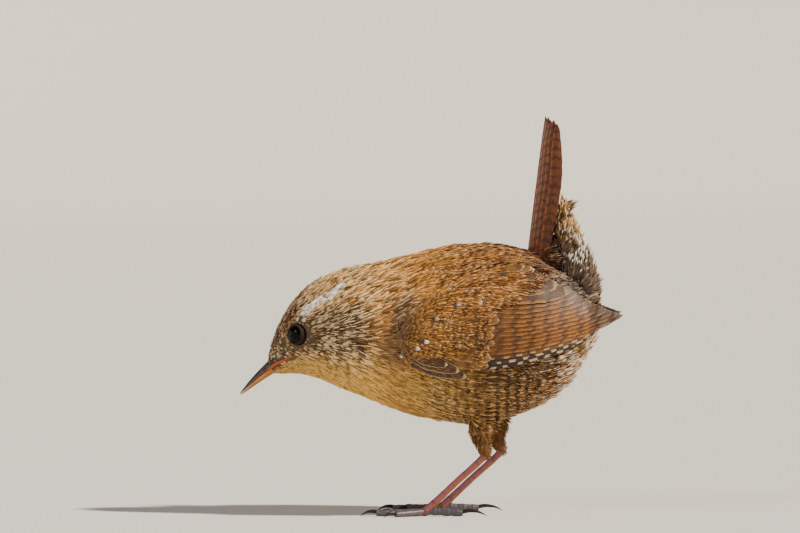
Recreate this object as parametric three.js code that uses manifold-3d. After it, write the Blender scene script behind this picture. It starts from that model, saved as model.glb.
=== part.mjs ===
// A Eurasian wren at life size, standing on level ground with its head low and its tail cocked.
// Millimetres, +Z up. The bird faces -X and its left side faces -Y.
import * as THREE from "three";
import Module from "manifold-3d";

const wasm = await Module();
wasm.setup();
const { Manifold, Mesh: SolidMesh } = wasm;

// Driving dimensions
const seam = 0.3; // space that touching pieces keep
const finest = 0.085; // smaller steps in a joined surface are evened out
const left = -1; // sign of y on the bird's left side
const right = 1;
const radians = THREE.MathUtils.degToRad;

// The outline of the head, neck and body as stations from the bill to the vent. Each joins a
// point of the back's line to one of the belly's line; half is half the width, and low says
// how much wider the section is below its middle than above it.
const stations = [
  { at: "bill base", top: [-35.7, 32.2], bottom: [-34.2, 28.3], half: 2.2, low: 0.0 },
  { at: "lores", top: [-34.9, 35.3], bottom: [-31.8, 28.4], half: 3.5, low: -0.06 },
  { at: "eye", top: [-32.8, 40.2], bottom: [-28.7, 28.4], half: 5.6, low: -0.12 },
  { at: "crown", top: [-29.5, 45.1], bottom: [-25.0, 27.4], half: 7.3, low: -0.1 },
  { at: "nape", top: [-25.0, 48.8], bottom: [-20.9, 25.6], half: 8.7, low: -0.04 },
  { at: "neck", top: [-19.5, 51.0], bottom: [-16.0, 23.8], half: 10.2, low: 0.0 },
  { at: "shoulder", top: [-13.3, 52.1], bottom: [-10.3, 21.5], half: 12.0, low: 0.04 },
  { at: "breast", top: [-7.2, 53.4], bottom: [-4.5, 19.7], half: 13.8, low: 0.06 },
  { at: "mantle", top: [0.0, 55.0], bottom: [1.4, 18.7], half: 15.2, low: 0.06 },
  { at: "middle", top: [7.2, 55.8], bottom: [7.4, 18.0], half: 16.0, low: 0.05 },
  { at: "belly", top: [13.3, 55.4], bottom: [13.5, 19.4], half: 15.9, low: 0.04 },
  { at: "flank", top: [18.9, 54.1], bottom: [19.7, 22.3], half: 14.8, low: 0.02 },
  { at: "rump", top: [23.6, 51.5], bottom: [25.0, 26.2], half: 12.4, low: 0.0 },
  { at: "vent", top: [28.1, 47.8], bottom: [29.1, 32.0], half: 8.6, low: 0.0 },
  { at: "tail root", top: [31.0, 44.0], bottom: [31.6, 37.1], half: 4.4, low: 0.0 },
];
const bodySides = 24;
const ringsPerStation = 2;
const ventEnd = 0.9; // how far the body's rear end stands past its last station
const bodyClearance = 0.1; // added to the seam where feathers meet the body's flat facets

// The head turns a little to the bird's right, about an upright line through the neck.
const headTurn = radians(10);
const turnPivot = -14;
const turnFull = -25; // at and ahead of this x the whole turn
const turnNone = -8; // behind this x none of it

// Seams between head, neck and torso: upright planes that lean along the stations
const headSeam = 4.2; // in stations from the bill base
const neckSeam = 6.3;

// Eyes
const eyeRadius = 2.5;
const eyeAt = [-28.6, 36.9]; // x and z of the middle of the lids
const eyeStands = 0.95; // height of the eyeball's cap over the face
const eyeDetail = 2;
const lidRadius = 0.36;
const lidSides = 16;
const lidFacets = 4;

// Bill: the line where its halves meet, from inside the face to the tip
const mouthLine = [
  [-31.0, 31.8],
  [-33.2, 30.8],
  [-35.6, 29.2],
  [-38.6, 26.8],
  [-41.4, 24.3],
];
const culmenHeight = 2.35; // upper half at its base
const gonysHeight = 1.75; // lower half at its base
const billHalfWidth = 2.0;
const billSteps = 9;
const billFacets = 6;
const billFinest = 0.06; // share of its size left at the tip
const billCurve = 0.8; // below 1 the bill stays full for longer before it narrows
const gapeCorner = [-29.3, 32.5];
const gapeRadius = 0.42;
const gapeFrom = 0.32; // where the gape begins, as a share of the mouth line
const nostrilAt = 0.52;
const nostrilRadius = 0.2;
const nostrilHalfLength = 0.65;
const nostrilOut = 1.15; // from the bill's middle plane
const nostrilUp = 0.95;

// Wings
const wingSkin = 1.3; // thickness of the wing's own body over the flank
const wingTipY = 7.6; // half distance between the two wing tips
const wingSoftness = 1.2; // how gently the wing leaves the flank
const wingLeaves = [14, 20]; // x where it begins to leave, and where it is free
const wingCoreSides = 16;
const wingOutlinePoints = 14;
const vaneThickness = 0.6;
const vaneShaft = 0.12; // height of the ridge along the shaft
const tipSlant = 0.35; // how far back a tip's corners lie, in widths
const longFeathers = 11; // from the lowest outer primary up to the inner secondaries
const longestFeather = 3;
const longFeatherLength = 31.2;
const outerStep = 2.1; // how much each feather before the longest is shorter
const innerStep = 2.15; // and each one after it

// Tail
const tailRoot = [17.7, 49.6];
const tailLean = radians(7.2); // from upright, to the rear
const tailLength = 32.2;
const tailPairs = 6;
const tailHalfWidth = 5.0;
const tailDepth = 4.7;
const tailFirst = radians(7); // from the ridge to the first feather
const tailStep = radians(14.5); // from feather to feather
const tailFeatherWidth = 3.4;
const tailSkin = 0.75; // from the roof's surface to the lowest face of its feathers

// Legs
const heel = [9.2, 12.5];
const heelY = 7.2;
const footJoint = [-3.0, 0.95];
const footY = 8.4;
const hipHeight = 24;
const shankRadius = 0.68;
const shankSides = 9;
const heelSwell = 0.42; // added to the radius at the heel
const footSwell = 0.12; // added to it just above the foot
const knuckleRadius = 1.05;
const thighSides = 12;
const thighBow = 0.9; // how far the middle of the thigh leans forward
const toeSteps = 11;
const toeSides = 6;
const clawFirst = 0.46; // radius of a claw at its root
const clawLast = 0.14;
const rightLegBack = 3.4; // the right foot stands this much further back
const toes = [
  { name: "inner", turn: 34, length: 7.2, claw: 3.0, radius: 0.62 },
  { name: "middle", turn: 4, length: 9.8, claw: 3.5, radius: 0.68 },
  { name: "outer", turn: -26, length: 7.8, claw: 3.0, radius: 0.62 },
  { name: "hind", turn: 176, length: 7.4, claw: 5.2, radius: 0.74 },
];

// Solids

// A closed mesh as a solid with its faces pointing out.
function solid(points, triangles) {
  const positions = new Float32Array(points.flatMap((p) => [p.x, p.y, p.z]));
  const build = (list) =>
    new Manifold(
      new SolidMesh({
        numProp: 3,
        vertProperties: positions,
        triVerts: new Uint32Array(list.flat()),
      }),
    );
  const made = build(triangles);
  return made.volume() < 0 ? build(triangles.map(([a, b, c]) => [a, c, b])) : made;
}

// A solid through rings of equally many points, with a point or a flat fan at either end.
function loft(rings, startPoint, endPoint) {
  const sides = rings[0].length;
  const points = rings.flat();
  const triangles = [];
  for (let i = 0; i + 1 < rings.length; i++)
    for (let j = 0; j < sides; j++) {
      const a = i * sides + j;
      const b = i * sides + ((j + 1) % sides);
      triangles.push([a, b, b + sides], [a, b + sides, a + sides]);
    }
  const middle = (ring) =>
    ring.reduce((sum, p) => sum.add(p), new THREE.Vector3()).divideScalar(sides);
  const last = (rings.length - 1) * sides;
  points.push(startPoint ?? middle(rings[0]), endPoint ?? middle(rings.at(-1)));
  for (let j = 0; j < sides; j++) {
    const next = (j + 1) % sides;
    triangles.push([points.length - 2, next, j]);
    triangles.push([points.length - 1, last + j, last + next]);
  }
  return solid(points, triangles);
}

// A round tube of varying radius along a curve, with both ends drawn out by reach.
function tube(curve, radiusAt, steps, sides, reach = 0) {
  const rings = [];
  for (let i = 0; i <= steps; i++) {
    const u = i / steps;
    const along = curve.getTangent(u);
    const past = i === 0 ? -reach : i === steps ? reach : 0;
    const across = new THREE.Vector3(0, 1, 0).cross(along).normalize();
    const beside = along.clone().cross(across);
    const ring = [];
    for (let j = 0; j < sides; j++) {
      const a = (2 * Math.PI * (j + 0.5)) / sides;
      ring.push(
        curve
          .getPoint(u)
          .addScaledVector(along, past)
          .addScaledVector(across, radiusAt(u) * Math.cos(a))
          .addScaledVector(beside, radiusAt(u) * Math.sin(a)),
      );
    }
    rings.push(ring);
  }
  return loft(rings);
}

// A round ball of triangles.
function sphere(radius, detail, centre) {
  const ball = new THREE.IcosahedronGeometry(radius, detail);
  const corners = ball.getAttribute("position");
  const found = new Map();
  const points = [];
  const triangles = [];
  for (let i = 0; i < corners.count; i++) {
    const p = new THREE.Vector3().fromBufferAttribute(corners, i);
    const key = p.toArray().map((c) => c.toFixed(4)).join();
    if (!found.has(key)) {
      found.set(key, points.length);
      points.push(p.add(centre));
    }
    if (i % 3 === 0) triangles.push([]);
    triangles.at(-1).push(found.get(key));
  }
  return solid(points, triangles);
}

const join = (pieces) => Manifold.union(pieces);
const mirrored = (piece) => piece.mirror([0, 1, 0]);

// The largest closed surface of a solid, without sealed hollows or loose scraps.
function largest(piece) {
  return piece.decompose().reduce((a, b) => (a.volume() > b.volume() ? a : b));
}

const curveThrough = (points) => new THREE.CatmullRomCurve3(points);
const smooth = (from, to, x) => THREE.MathUtils.smoothstep(x, from, to);
const mix = THREE.MathUtils.lerp;

// Head, neck and torso

const topLine = curveThrough(stations.map((s) => new THREE.Vector3(s.top[0], 0, s.top[1])));
const bottomLine = curveThrough(
  stations.map((s) => new THREE.Vector3(s.bottom[0], 0, s.bottom[1])),
);
const widthLine = curveThrough(stations.map((s, i) => new THREE.Vector3(i, s.half, s.low)));

// The body's section at a share t of its stations, grown by out.
function sectionAt(t, out = 0) {
  const top = topLine.getPoint(t);
  const bottom = bottomLine.getPoint(t);
  const width = widthLine.getPoint(t);
  const up = top.clone().sub(bottom);
  return {
    centre: top.add(bottom).divideScalar(2),
    high: up.length() / 2 + out,
    up: up.normalize(),
    half: width.y + out,
    low: width.z,
  };
}

// A point of the body's surface: angle 0 is the back's line and a quarter turn is the left side.
function bodyPoint(t, angle, out = 0) {
  const s = sectionAt(t, out);
  const rise = Math.cos(angle);
  const wide = s.half * Math.sin(angle) * (1 - s.low * rise);
  return s.centre
    .clone()
    .addScaledVector(s.up, s.high * rise)
    .add(new THREE.Vector3(0, left * wide, 0));
}

// Where a side view's point lies on the body: the section through it, and how high it is there,
// from 1 on the back's line to -1 on the belly's line.
function bodyPlace(x, z) {
  let ahead = 0;
  let behind = 1;
  for (let i = 0; i < 24; i++) {
    const t = (ahead + behind) / 2;
    const s = sectionAt(t);
    const past = (x - s.centre.x) * s.up.z - (z - s.centre.z) * s.up.x;
    if (past > 0) ahead = t;
    else behind = t;
  }
  const s = sectionAt(ahead);
  const rise = ((x - s.centre.x) * s.up.x + (z - s.centre.z) * s.up.z) / s.high;
  return { t: ahead, rise };
}

// Half the body's width at a side view's point, grown by out; 0 outside the outline.
function bodySide(x, z, out = 0) {
  const { t, rise } = bodyPlace(x, z);
  const s = sectionAt(t, out);
  const share = (rise * (s.high - out)) / s.high;
  if (Math.abs(share) >= 1) return 0;
  return s.half * Math.sqrt(1 - share * share) * (1 - s.low * share);
}

// Turns a point with the head.
function turned(p) {
  const angle = headTurn * (1 - smooth(turnFull, turnNone, p.x));
  const ahead = p.x - turnPivot;
  return new THREE.Vector3(
    turnPivot + ahead * Math.cos(angle) + p.y * Math.sin(angle),
    p.y * Math.cos(angle) - ahead * Math.sin(angle),
    p.z,
  );
}

// The whole body as one solid, grown by out.
function bodyShell(out, sides = bodySides, perStation = ringsPerStation) {
  const steps = (stations.length - 1) * perStation;
  const rings = [];
  for (let i = 0; i <= steps; i++) {
    const ring = [];
    for (let j = 0; j < sides; j++)
      ring.push(turned(bodyPoint(i / steps, (2 * Math.PI * j) / sides, out)));
    rings.push(ring);
  }
  const front = sectionAt(0).centre.add(new THREE.Vector3(-out, 0, 0));
  const rear = sectionAt(1).centre.add(new THREE.Vector3(ventEnd + out, 0, 0));
  return loft(rings, turned(front), turned(rear));
}

const body = bodyShell(0);
const bodyGrown = bodyShell(seam + bodyClearance);
const bodyGrownBack = join([bodyGrown, bodyGrown.translate([seam, 0, 0])]);

// A plane through a station's section, turned with the head, as [normal, offset].
function seamPlane(station, shift) {
  const t = station / (stations.length - 1);
  const s = sectionAt(t);
  const here = turned(s.centre);
  const above = turned(s.centre.clone().addScaledVector(s.up, s.high));
  const beside = turned(s.centre.clone().add(new THREE.Vector3(0, s.half, 0)));
  const normal = above.sub(here).cross(beside.sub(here)).normalize();
  if (normal.x < 0) normal.negate();
  return [normal.toArray(), normal.dot(here) + shift];
}

const inFrontOf = (piece, station) => {
  const [normal, offset] = seamPlane(station, -seam / 2);
  return piece.trimByPlane(normal.map((n) => -n), -offset);
};
const behindOf = (piece, station) => piece.trimByPlane(...seamPlane(station, seam / 2));

// Eyes

// A point and the outward direction on the left side of the unturned body.
function sideFrame(x, z) {
  const at = (dx, dz) =>
    new THREE.Vector3(x + dx, left * bodySide(x + dx, z + dz), z + dz);
  const step = 0.2;
  const out = at(step, 0).sub(at(-step, 0)).cross(at(0, step).sub(at(0, -step))).normalize();
  return { point: at(0, 0), out: out.y * left > 0 ? out : out.negate() };
}

function eyeFrame(side) {
  const { point, out } = sideFrame(...eyeAt);
  const flip = new THREE.Vector3(1, side * left, 1);
  const surface = turned(point.clone().multiply(flip));
  const tip = turned(point.clone().add(out).multiply(flip));
  const axis = tip.sub(surface).normalize();
  const centre = surface.clone().addScaledVector(axis, eyeStands - eyeRadius);
  return { surface, axis, centre };
}

const eyeball = (side, out = 0) => sphere(eyeRadius + out, eyeDetail, eyeFrame(side).centre);

// The ring of bare skin and tiny feathers round an eye.
function lidRing(side) {
  const { surface, axis } = eyeFrame(side);
  const opening = Math.sqrt(eyeRadius ** 2 - (eyeRadius - eyeStands) ** 2);
  const across = new THREE.Vector3(0, 0, 1).cross(axis).normalize();
  const up = axis.clone().cross(across);
  const points = [];
  const triangles = [];
  for (let i = 0; i < lidSides; i++) {
    const a = (2 * Math.PI * i) / lidSides;
    const spoke = across.clone().multiplyScalar(Math.cos(a)).addScaledVector(up, Math.sin(a));
    for (let j = 0; j < lidFacets; j++) {
      const b = (2 * Math.PI * j) / lidFacets;
      points.push(
        surface
          .clone()
          .addScaledVector(spoke, opening + lidRadius * (0.9 + Math.cos(b)))
          .addScaledVector(axis, lidRadius * Math.sin(b)),
      );
      const k = i * lidFacets + j;
      const beside = i * lidFacets + ((j + 1) % lidFacets);
      const next = (n) => (n + lidFacets) % (lidSides * lidFacets);
      triangles.push([k, beside, next(beside)], [k, next(beside), next(k)]);
    }
  }
  return solid(points, triangles);
}

// Bill

const mouth = curveThrough(mouthLine.map(([x, z]) => new THREE.Vector3(x, 0, z)));

// One half of the bill: up is 1 for the upper half and -1 for the lower, out grows it.
function billHalf(up, height, out = 0) {
  const rings = [];
  for (let i = 0; i <= billSteps; i++) {
    const u = i / billSteps;
    const along = mouth.getTangent(u);
    const rise = new THREE.Vector3(along.z, 0, -along.x).multiplyScalar(along.x < 0 ? 1 : -1);
    const taper = mix(billFinest, 1, Math.pow(1 - u, billCurve));
    const wide = billHalfWidth * taper + out;
    const high = height * taper + 2 * out;
    const ring = [];
    const hind = i === 0 ? out : 0;
    for (let j = 0; j <= billFacets; j++) {
      const a = (Math.PI * j) / billFacets;
      ring.push(
        mouth
          .getPoint(u)
          .addScaledVector(along, -hind)
          .addScaledVector(rise, up * (seam / 2 - out + Math.sin(a) * high))
          .add(new THREE.Vector3(0, Math.cos(a) * wide, 0)),
      );
    }
    rings.push(ring.map(turned));
  }
  return loft(rings);
}

// The soft orange edge of the mouth, along the side of the face to its corner.
function gapeEdge(side, out = 0) {
  const line = [gapeFrom, gapeFrom * 0.6, gapeFrom * 0.2].map((u) => {
    const p = mouth.getPoint(u);
    return new THREE.Vector3(p.x, side * bodySide(p.x, p.z, 0.05), p.z);
  });
  const [x, z] = gapeCorner;
  line[0].y = side * billHalfWidth * 0.72;
  line.push(new THREE.Vector3(x, side * bodySide(x, z, 0), z));
  const path = curveThrough(line.map(turned));
  return tube(path, (u) => gapeRadius * (1 - 0.5 * u) + out, 8, 6, out);
}

// A slit beside the upper half's base.
function nostril(side) {
  const at = mouth.getPoint(nostrilAt).add(new THREE.Vector3(0.2, side * nostrilOut, nostrilUp));
  const along = mouth.getTangent(nostrilAt).multiplyScalar(nostrilHalfLength);
  const ends = [at.clone().sub(along), at, at.clone().add(along)].map(turned);
  return tube(curveThrough(ends), () => nostrilRadius, 4, 6);
}

const billUpper = billHalf(1, culmenHeight).subtract(join([nostril(left), nostril(right)]));
const gapeClear = join([left, right].map((side) => gapeEdge(side, seam + bodyClearance)));
const billLower = join([billHalf(-1, gonysHeight), gapeEdge(left), gapeEdge(right)]).subtract(
  billHalf(1, culmenHeight, seam + bodyClearance),
);
const billClear = join([
  billHalf(1, culmenHeight, seam + bodyClearance),
  billHalf(-1, gonysHeight, seam + bodyClearance),
  gapeClear,
]);

// Feathers

// One feather as a thin curved vane. place(a, b, lift) gives the point of a surface at two
// coordinates, raised by lift; the feather runs from root to tip in those coordinates.
// Its exposed edge, on the side named by edge, lies higher by tilt for each unit across.
function vane(place, feather) {
  const { root, tip, width, lift, tilt, edge = -1, slope = 0, bow = 0 } = feather;
  const { thickness = vaneThickness, steps = 3, narrow = 0.62, blunt = 0.5 } = feather;
  const from = new THREE.Vector2(...root);
  const run = new THREE.Vector2(...tip).sub(from);
  const length = run.length();
  const along = run.clone().normalize();
  const across = new THREE.Vector2(-along.y, along.x);
  const columns = 3; // the shaft and the edge on either side of it
  const upper = [];
  const lower = [];
  for (let i = 0; i <= steps; i++) {
    const share = i / steps;
    for (let j = 0; j < columns; j++) {
      const v = j - 1;
      const back = share === 1 ? Math.abs(v) * tipSlant * width : 0;
      const u = share - back / length;
      const full = mix(narrow, 1, smooth(0, 0.4, u)) * mix(1, blunt, smooth(0.72, 1, share));
      const offset = v * (width / 2) * full;
      const c = from
        .clone()
        .addScaledVector(run, u)
        .addScaledVector(across, offset + bow * 4 * u * (1 - u));
      const height = lift + slope * (u - 0.5) + tilt * edge * offset;
      const ridge = v === 0 ? vaneShaft : 0;
      const half = (thickness / 2) * (share === 1 ? 0.75 : 1);
      upper.push(place(c.x, c.y, height + half + ridge));
      lower.push(place(c.x, c.y, height - half));
    }
  }
  const n = upper.length;
  const triangles = [];
  for (let i = 0; i < steps; i++)
    for (let j = 0; j + 1 < columns; j++) {
      const a = i * columns + j;
      const b = a + 1;
      const c = b + columns;
      const d = a + columns;
      triangles.push([a, b, c], [a, c, d], [n + a, n + c, n + b], [n + a, n + d, n + c]);
    }
  const rim = [];
  for (let j = 0; j < columns; j++) rim.push(j);
  for (let i = 1; i <= steps; i++) rim.push(i * columns + columns - 1);
  for (let j = columns - 2; j >= 0; j--) rim.push(steps * columns + j);
  for (let i = steps - 1; i > 0; i--) rim.push(i * columns);
  rim.forEach((a, k) => {
    const b = rim[(k + 1) % rim.length];
    triangles.push([b, a, n + a], [b, n + a, n + b]);
  });
  return solid([...upper, ...lower], triangles);
}

// Wings

// The folded left wing's own surface: it hugs the flank, then runs straight back to the tip.
function wingPoint(x, z) {
  const flank = bodySide(x, z);
  const free = (flank + wingTipY + Math.hypot(flank - wingTipY, wingSoftness)) / 2;
  return new THREE.Vector3(x, left * mix(flank, free, smooth(...wingLeaves, x)), z);
}

// The same surface raised by lift.
function wingPlace(x, z, lift) {
  const step = 0.4;
  const at = wingPoint(x, z);
  const out = wingPoint(x + step, z)
    .sub(wingPoint(x - step, z))
    .cross(wingPoint(x, z + step).sub(wingPoint(x, z - step)))
    .normalize();
  if (out.y > 0) out.negate();
  return at.addScaledVector(out, lift);
}

// A row of feathers whose roots and tips step from the first to the last.
function feathers(count, first, last, shared) {
  const row = [];
  for (let k = 0; k < count; k++) {
    const s = count > 1 ? k / (count - 1) : 0;
    const between = (key) => first[key].map((c, i) => mix(c, last[key][i], s));
    row.push(vane(wingPlace, { root: between("root"), tip: between("tip"), ...shared }));
  }
  return row;
}

// The long feathers of hand and arm, stacked upwards from the outermost.
function flightFeathers() {
  const row = [];
  for (let j = 0; j < longFeathers; j++) {
    const s = j / (longFeathers - 1);
    const root = [mix(5.4, 10.6, s), mix(30.4, 43.6, s)];
    const angle = radians(mix(14.6, 7.2, s));
    const before = Math.max(longestFeather - j, 0);
    const after = Math.max(j - longestFeather, 0);
    const length = longFeatherLength - outerStep * before ** 1.15 - innerStep * after;
    const tip = [root[0] + length * Math.cos(angle), root[1] + length * Math.sin(angle)];
    const lift = 0.85 + 0.05 * j;
    row.push(vane(wingPlace, { root, tip, width: 2.7, lift, tilt: 0.26, bow: -0.5 }));
  }
  return row;
}

// The part of the flank that the wing covers, as a block through the body's left side.
function wingOutline() {
  const corners = [
    [-8.6, 34.0],
    [-4.0, 30.4],
    [4.0, 29.4],
    [13.0, 31.8],
    [22.0, 36.4],
    [22.5, 44.8],
    [14.0, 46.6],
    [4.0, 46.2],
    [-4.5, 43.6],
    [-8.8, 39.0],
  ];
  const outline = new THREE.CatmullRomCurve3(
    corners.map(([x, z]) => new THREE.Vector3(x, 0, z)),
    true,
  ).getPoints(wingOutlinePoints);
  outline.pop();
  const near = outline.map((p) => new THREE.Vector3(p.x, left * 30, p.z));
  const far = outline.map((p) => new THREE.Vector3(p.x, left * 2, p.z));
  return loft([near, far]);
}

function leftWing() {
  const core = bodyShell(wingSkin, wingCoreSides, 1).intersect(wingOutline());
  const tertials = feathers(
    3,
    { root: [10.8, 44.4], tip: [24.6, 46.3] },
    { root: [7.6, 46.8], tip: [19.6, 48.3] },
    { width: 3.2, lift: 1.5, tilt: 0.22 },
  );
  const greaterCoverts = feathers(
    5,
    { root: [-0.5, 32.3], tip: [9.8, 31.8] },
    { root: [3.4, 43.6], tip: [13.6, 44.6] },
    { width: 3.5, lift: 1.75, tilt: 0.17, slope: 0.5, steps: 2 },
  );
  const handCoverts = feathers(
    3,
    { root: [-5.4, 31.6], tip: [5.8, 29.2] },
    { root: [-6.0, 33.4], tip: [2.4, 31.4] },
    { width: 2.6, lift: 1.5, tilt: 0.2, slope: 0.6, steps: 2 },
  );
  const medianCoverts = feathers(
    5,
    { root: [-6.6, 34.4], tip: [1.4, 33.6] },
    { root: [-3.0, 43.4], tip: [5.2, 43.9] },
    { width: 3.0, lift: 1.9, tilt: 0.2, slope: 0.7, steps: 2 },
  );
  const lesserCoverts = feathers(
    3,
    { root: [-9.2, 36.0], tip: [-2.2, 35.6] },
    { root: [-7.2, 42.6], tip: [-0.6, 43.0] },
    { width: 3.8, lift: 2.0, tilt: 0.16, slope: 0.9, steps: 2 },
  );
  const scapulars = feathers(
    3,
    { root: [-6.0, 44.8], tip: [7.4, 44.8] },
    { root: [2.0, 49.2], tip: [18.4, 50.2] },
    { width: 4.4, lift: 1.7, tilt: 0.17, slope: 0.8, steps: 2 },
  );
  const whole = join([
    core,
    ...flightFeathers(),
    ...tertials,
    ...greaterCoverts,
    ...handCoverts,
    ...medianCoverts,
    ...lesserCoverts,
    ...scapulars,
  ]);
  return largest(whole.subtract(bodyGrown).simplify(finest));
}

const wingLeft = leftWing();
const wingRight = mirrored(wingLeft);

// Tail

const tailUp = new THREE.Vector3(Math.sin(tailLean), 0, Math.cos(tailLean));
const tailRear = new THREE.Vector3(Math.cos(tailLean), 0, -Math.sin(tailLean));

// A point of the closed tail's roof: u runs up its length in millimetres and around is
// the angle from the ridge to either side.
function tailPlace(u, around, lift) {
  const share = u / tailLength;
  const wide = tailHalfWidth * mix(0.72, 1, smooth(0, 0.5, share));
  const deep = tailDepth * mix(1, 0.62, smooth(0.55, 1, share));
  return new THREE.Vector3(tailRoot[0], 0, tailRoot[1])
    .addScaledVector(tailUp, u)
    .add(new THREE.Vector3(0, (wide + lift) * Math.sin(around), 0))
    .addScaledVector(tailRear, deep - (deep + lift) * Math.cos(around));
}

function tailFeathers(side) {
  const row = [];
  for (let i = 0; i < tailPairs; i++) {
    const across = side * (tailFirst + tailStep * i) * tailHalfWidth;
    const shorter = 0.14 * i ** 1.85;
    const place = (u, v, lift) => tailPlace(u, v / tailHalfWidth, lift);
    row.push(
      vane(place, {
        root: [1.0, across * 0.85],
        tip: [tailLength - shorter, across],
        width: tailFeatherWidth,
        lift: 0,
        tilt: 0.24,
        edge: side,
        steps: 4,
        narrow: 0.7,
      }),
    );
  }
  return row;
}

// The tail's fleshy root with all its feathers.
function tailSolid() {
  const core = tube(
    curveThrough([0.5, 4, 9].map((u) => tailPlace(u, 0, -2.4))),
    (u) => mix(2.9, 1.5, u),
    4,
    12,
  );
  const whole = join([core, ...tailFeathers(left), ...tailFeathers(right)]);
  return largest(whole.subtract(bodyGrown).simplify(finest));
}

const tail = tailSolid();

// Tail coverts under the cocked tail

const covertRings = [
  { z: 43.0, x: 27.6, deep: 5.2, half: 6.0 },
  { z: 47.0, x: 27.6, deep: 5.0, half: 6.0 },
  { z: 51.0, x: 27.0, deep: 4.4, half: 5.6 },
  { z: 55.0, x: 26.0, deep: 3.4, half: 4.8 },
  { z: 59.0, x: 25.2, deep: 2.4, half: 3.8 },
  { z: 63.0, x: 24.6, deep: 1.1, half: 2.2 },
];

const covertSides = 10;
const covertScale = 5; // turns an angle round the core into a length across a feather

// A point of the coverts' surface: height z, and the angle from the rear to either side.
function covertPlace(z, around, lift) {
  const last = covertRings.length - 1;
  const rise = (z - covertRings[0].z) / (covertRings[last].z - covertRings[0].z);
  const k = Math.min(last - 1, Math.max(0, Math.floor(rise * last)));
  const part = rise * last - k;
  const [a, b] = [covertRings[k], covertRings[k + 1]];
  return new THREE.Vector3(
    mix(a.x, b.x, part) + (mix(a.deep, b.deep, part) + lift) * Math.cos(around),
    (mix(a.half, b.half, part) + lift) * Math.sin(around),
    z,
  );
}

// A core with four tiers of soft feathers, each tier shorter and further out than the last.
function undertailSolid() {
  const turn = (2 * Math.PI) / covertSides;
  const rings = covertRings.map((r) =>
    Array.from({ length: covertSides }, (_, j) => covertPlace(r.z, turn * j, 0)),
  );
  const core = loft(rings);
  const tufts = [];
  const tiers = [
    { from: 43.5, to: 50.5, count: 4, spread: 62, width: 5.0 },
    { from: 47.5, to: 55.5, count: 4, spread: 56, width: 4.8 },
    { from: 52.0, to: 60.0, count: 3, spread: 46, width: 4.6 },
    { from: 56.0, to: 65.4, count: 3, spread: 38, width: 3.6 },
  ];
  const place = (z, across, lift) => covertPlace(z, across / covertScale, lift);
  for (const { from, to, count, spread, width } of tiers)
    for (let k = 0; k < count; k++) {
      const around = radians(mix(-spread, spread, k / (count - 1)));
      const uneven = 0.8 * Math.sin(5 * k + from);
      tufts.push(
        vane(place, {
          root: [from, around * covertScale],
          tip: [to + uneven, around * covertScale * 0.92],
          width,
          lift: 0.35,
          tilt: 0.12,
          slope: 1.5,
          steps: 2,
          edge: Math.sign(around) || 1,
        }),
      );
    }
  // the tail's rear face, as a plane that the coverts stay behind
  const onPlane = tailPlace(0, 0, 0).addScaledVector(tailRear, tailDepth + tailSkin + seam);
  const whole = join([core, ...tufts])
    .trimByPlane(tailRear.toArray(), tailRear.dot(onPlane))
    .subtract(bodyGrownBack);
  return largest(whole.simplify(finest));
}

const undertail = undertailSolid();

// Legs

// The hip, heel and toe joint of one leg.
function legFrame(side) {
  const back = side === right ? rightLegBack : 0;
  return {
    hip: new THREE.Vector3(heel[0] + 0.6 * back, side * (heelY - 1.0), hipHeight),
    heel: new THREE.Vector3(heel[0] + back, side * heelY, heel[1]),
    foot: new THREE.Vector3(footJoint[0] + back, side * footY, footJoint[1]),
  };
}

// A bare shank with the joint of its toes, grown by out.
function shankSolid(side, out = 0) {
  const f = legFrame(side);
  const down = f.foot.clone().sub(f.heel);
  const curve = curveThrough([
    f.heel.clone().addScaledVector(down, -0.06).add(new THREE.Vector3(-0.4, 0, 0.4)),
    f.heel,
    f.heel.clone().lerp(f.foot, 0.5).add(new THREE.Vector3(-0.15, 0, -0.15)),
    f.foot,
  ]);
  const radiusAt = (u) =>
    shankRadius + heelSwell * (1 - smooth(0.1, 0.45, u)) + footSwell * smooth(0.8, 1, u) + out;
  const shaft = tube(curve, radiusAt, 7, shankSides, out);
  return join([shaft, sphere(knuckleRadius + out, 2, f.foot)]);
}

// The feathered thigh from the belly down to the heel.
function thighSolid(side) {
  const f = legFrame(side);
  const rings = [
    { share: 0, deep: 3.4, half: 3.0 },
    { share: 0.35, deep: 3.1, half: 2.7 },
    { share: 0.6, deep: 2.9, half: 2.5 },
    { share: 0.82, deep: 2.4, half: 2.1 },
    { share: 0.98, deep: 1.7, half: 1.6 },
  ].map(({ share, deep, half }) => {
    const middle = f.hip.clone().lerp(f.heel, share);
    middle.x -= thighBow * Math.sin(Math.PI * share);
    return Array.from({ length: thighSides }, (_, j) => {
      const a = (2 * Math.PI * j) / thighSides;
      return middle.clone().add(new THREE.Vector3(deep * Math.cos(a), half * Math.sin(a), 0));
    });
  });
  const clear = shankSolid(side, seam + bodyClearance);
  return largest(loft(rings).subtract(join([bodyGrown, clear])));
}

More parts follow.
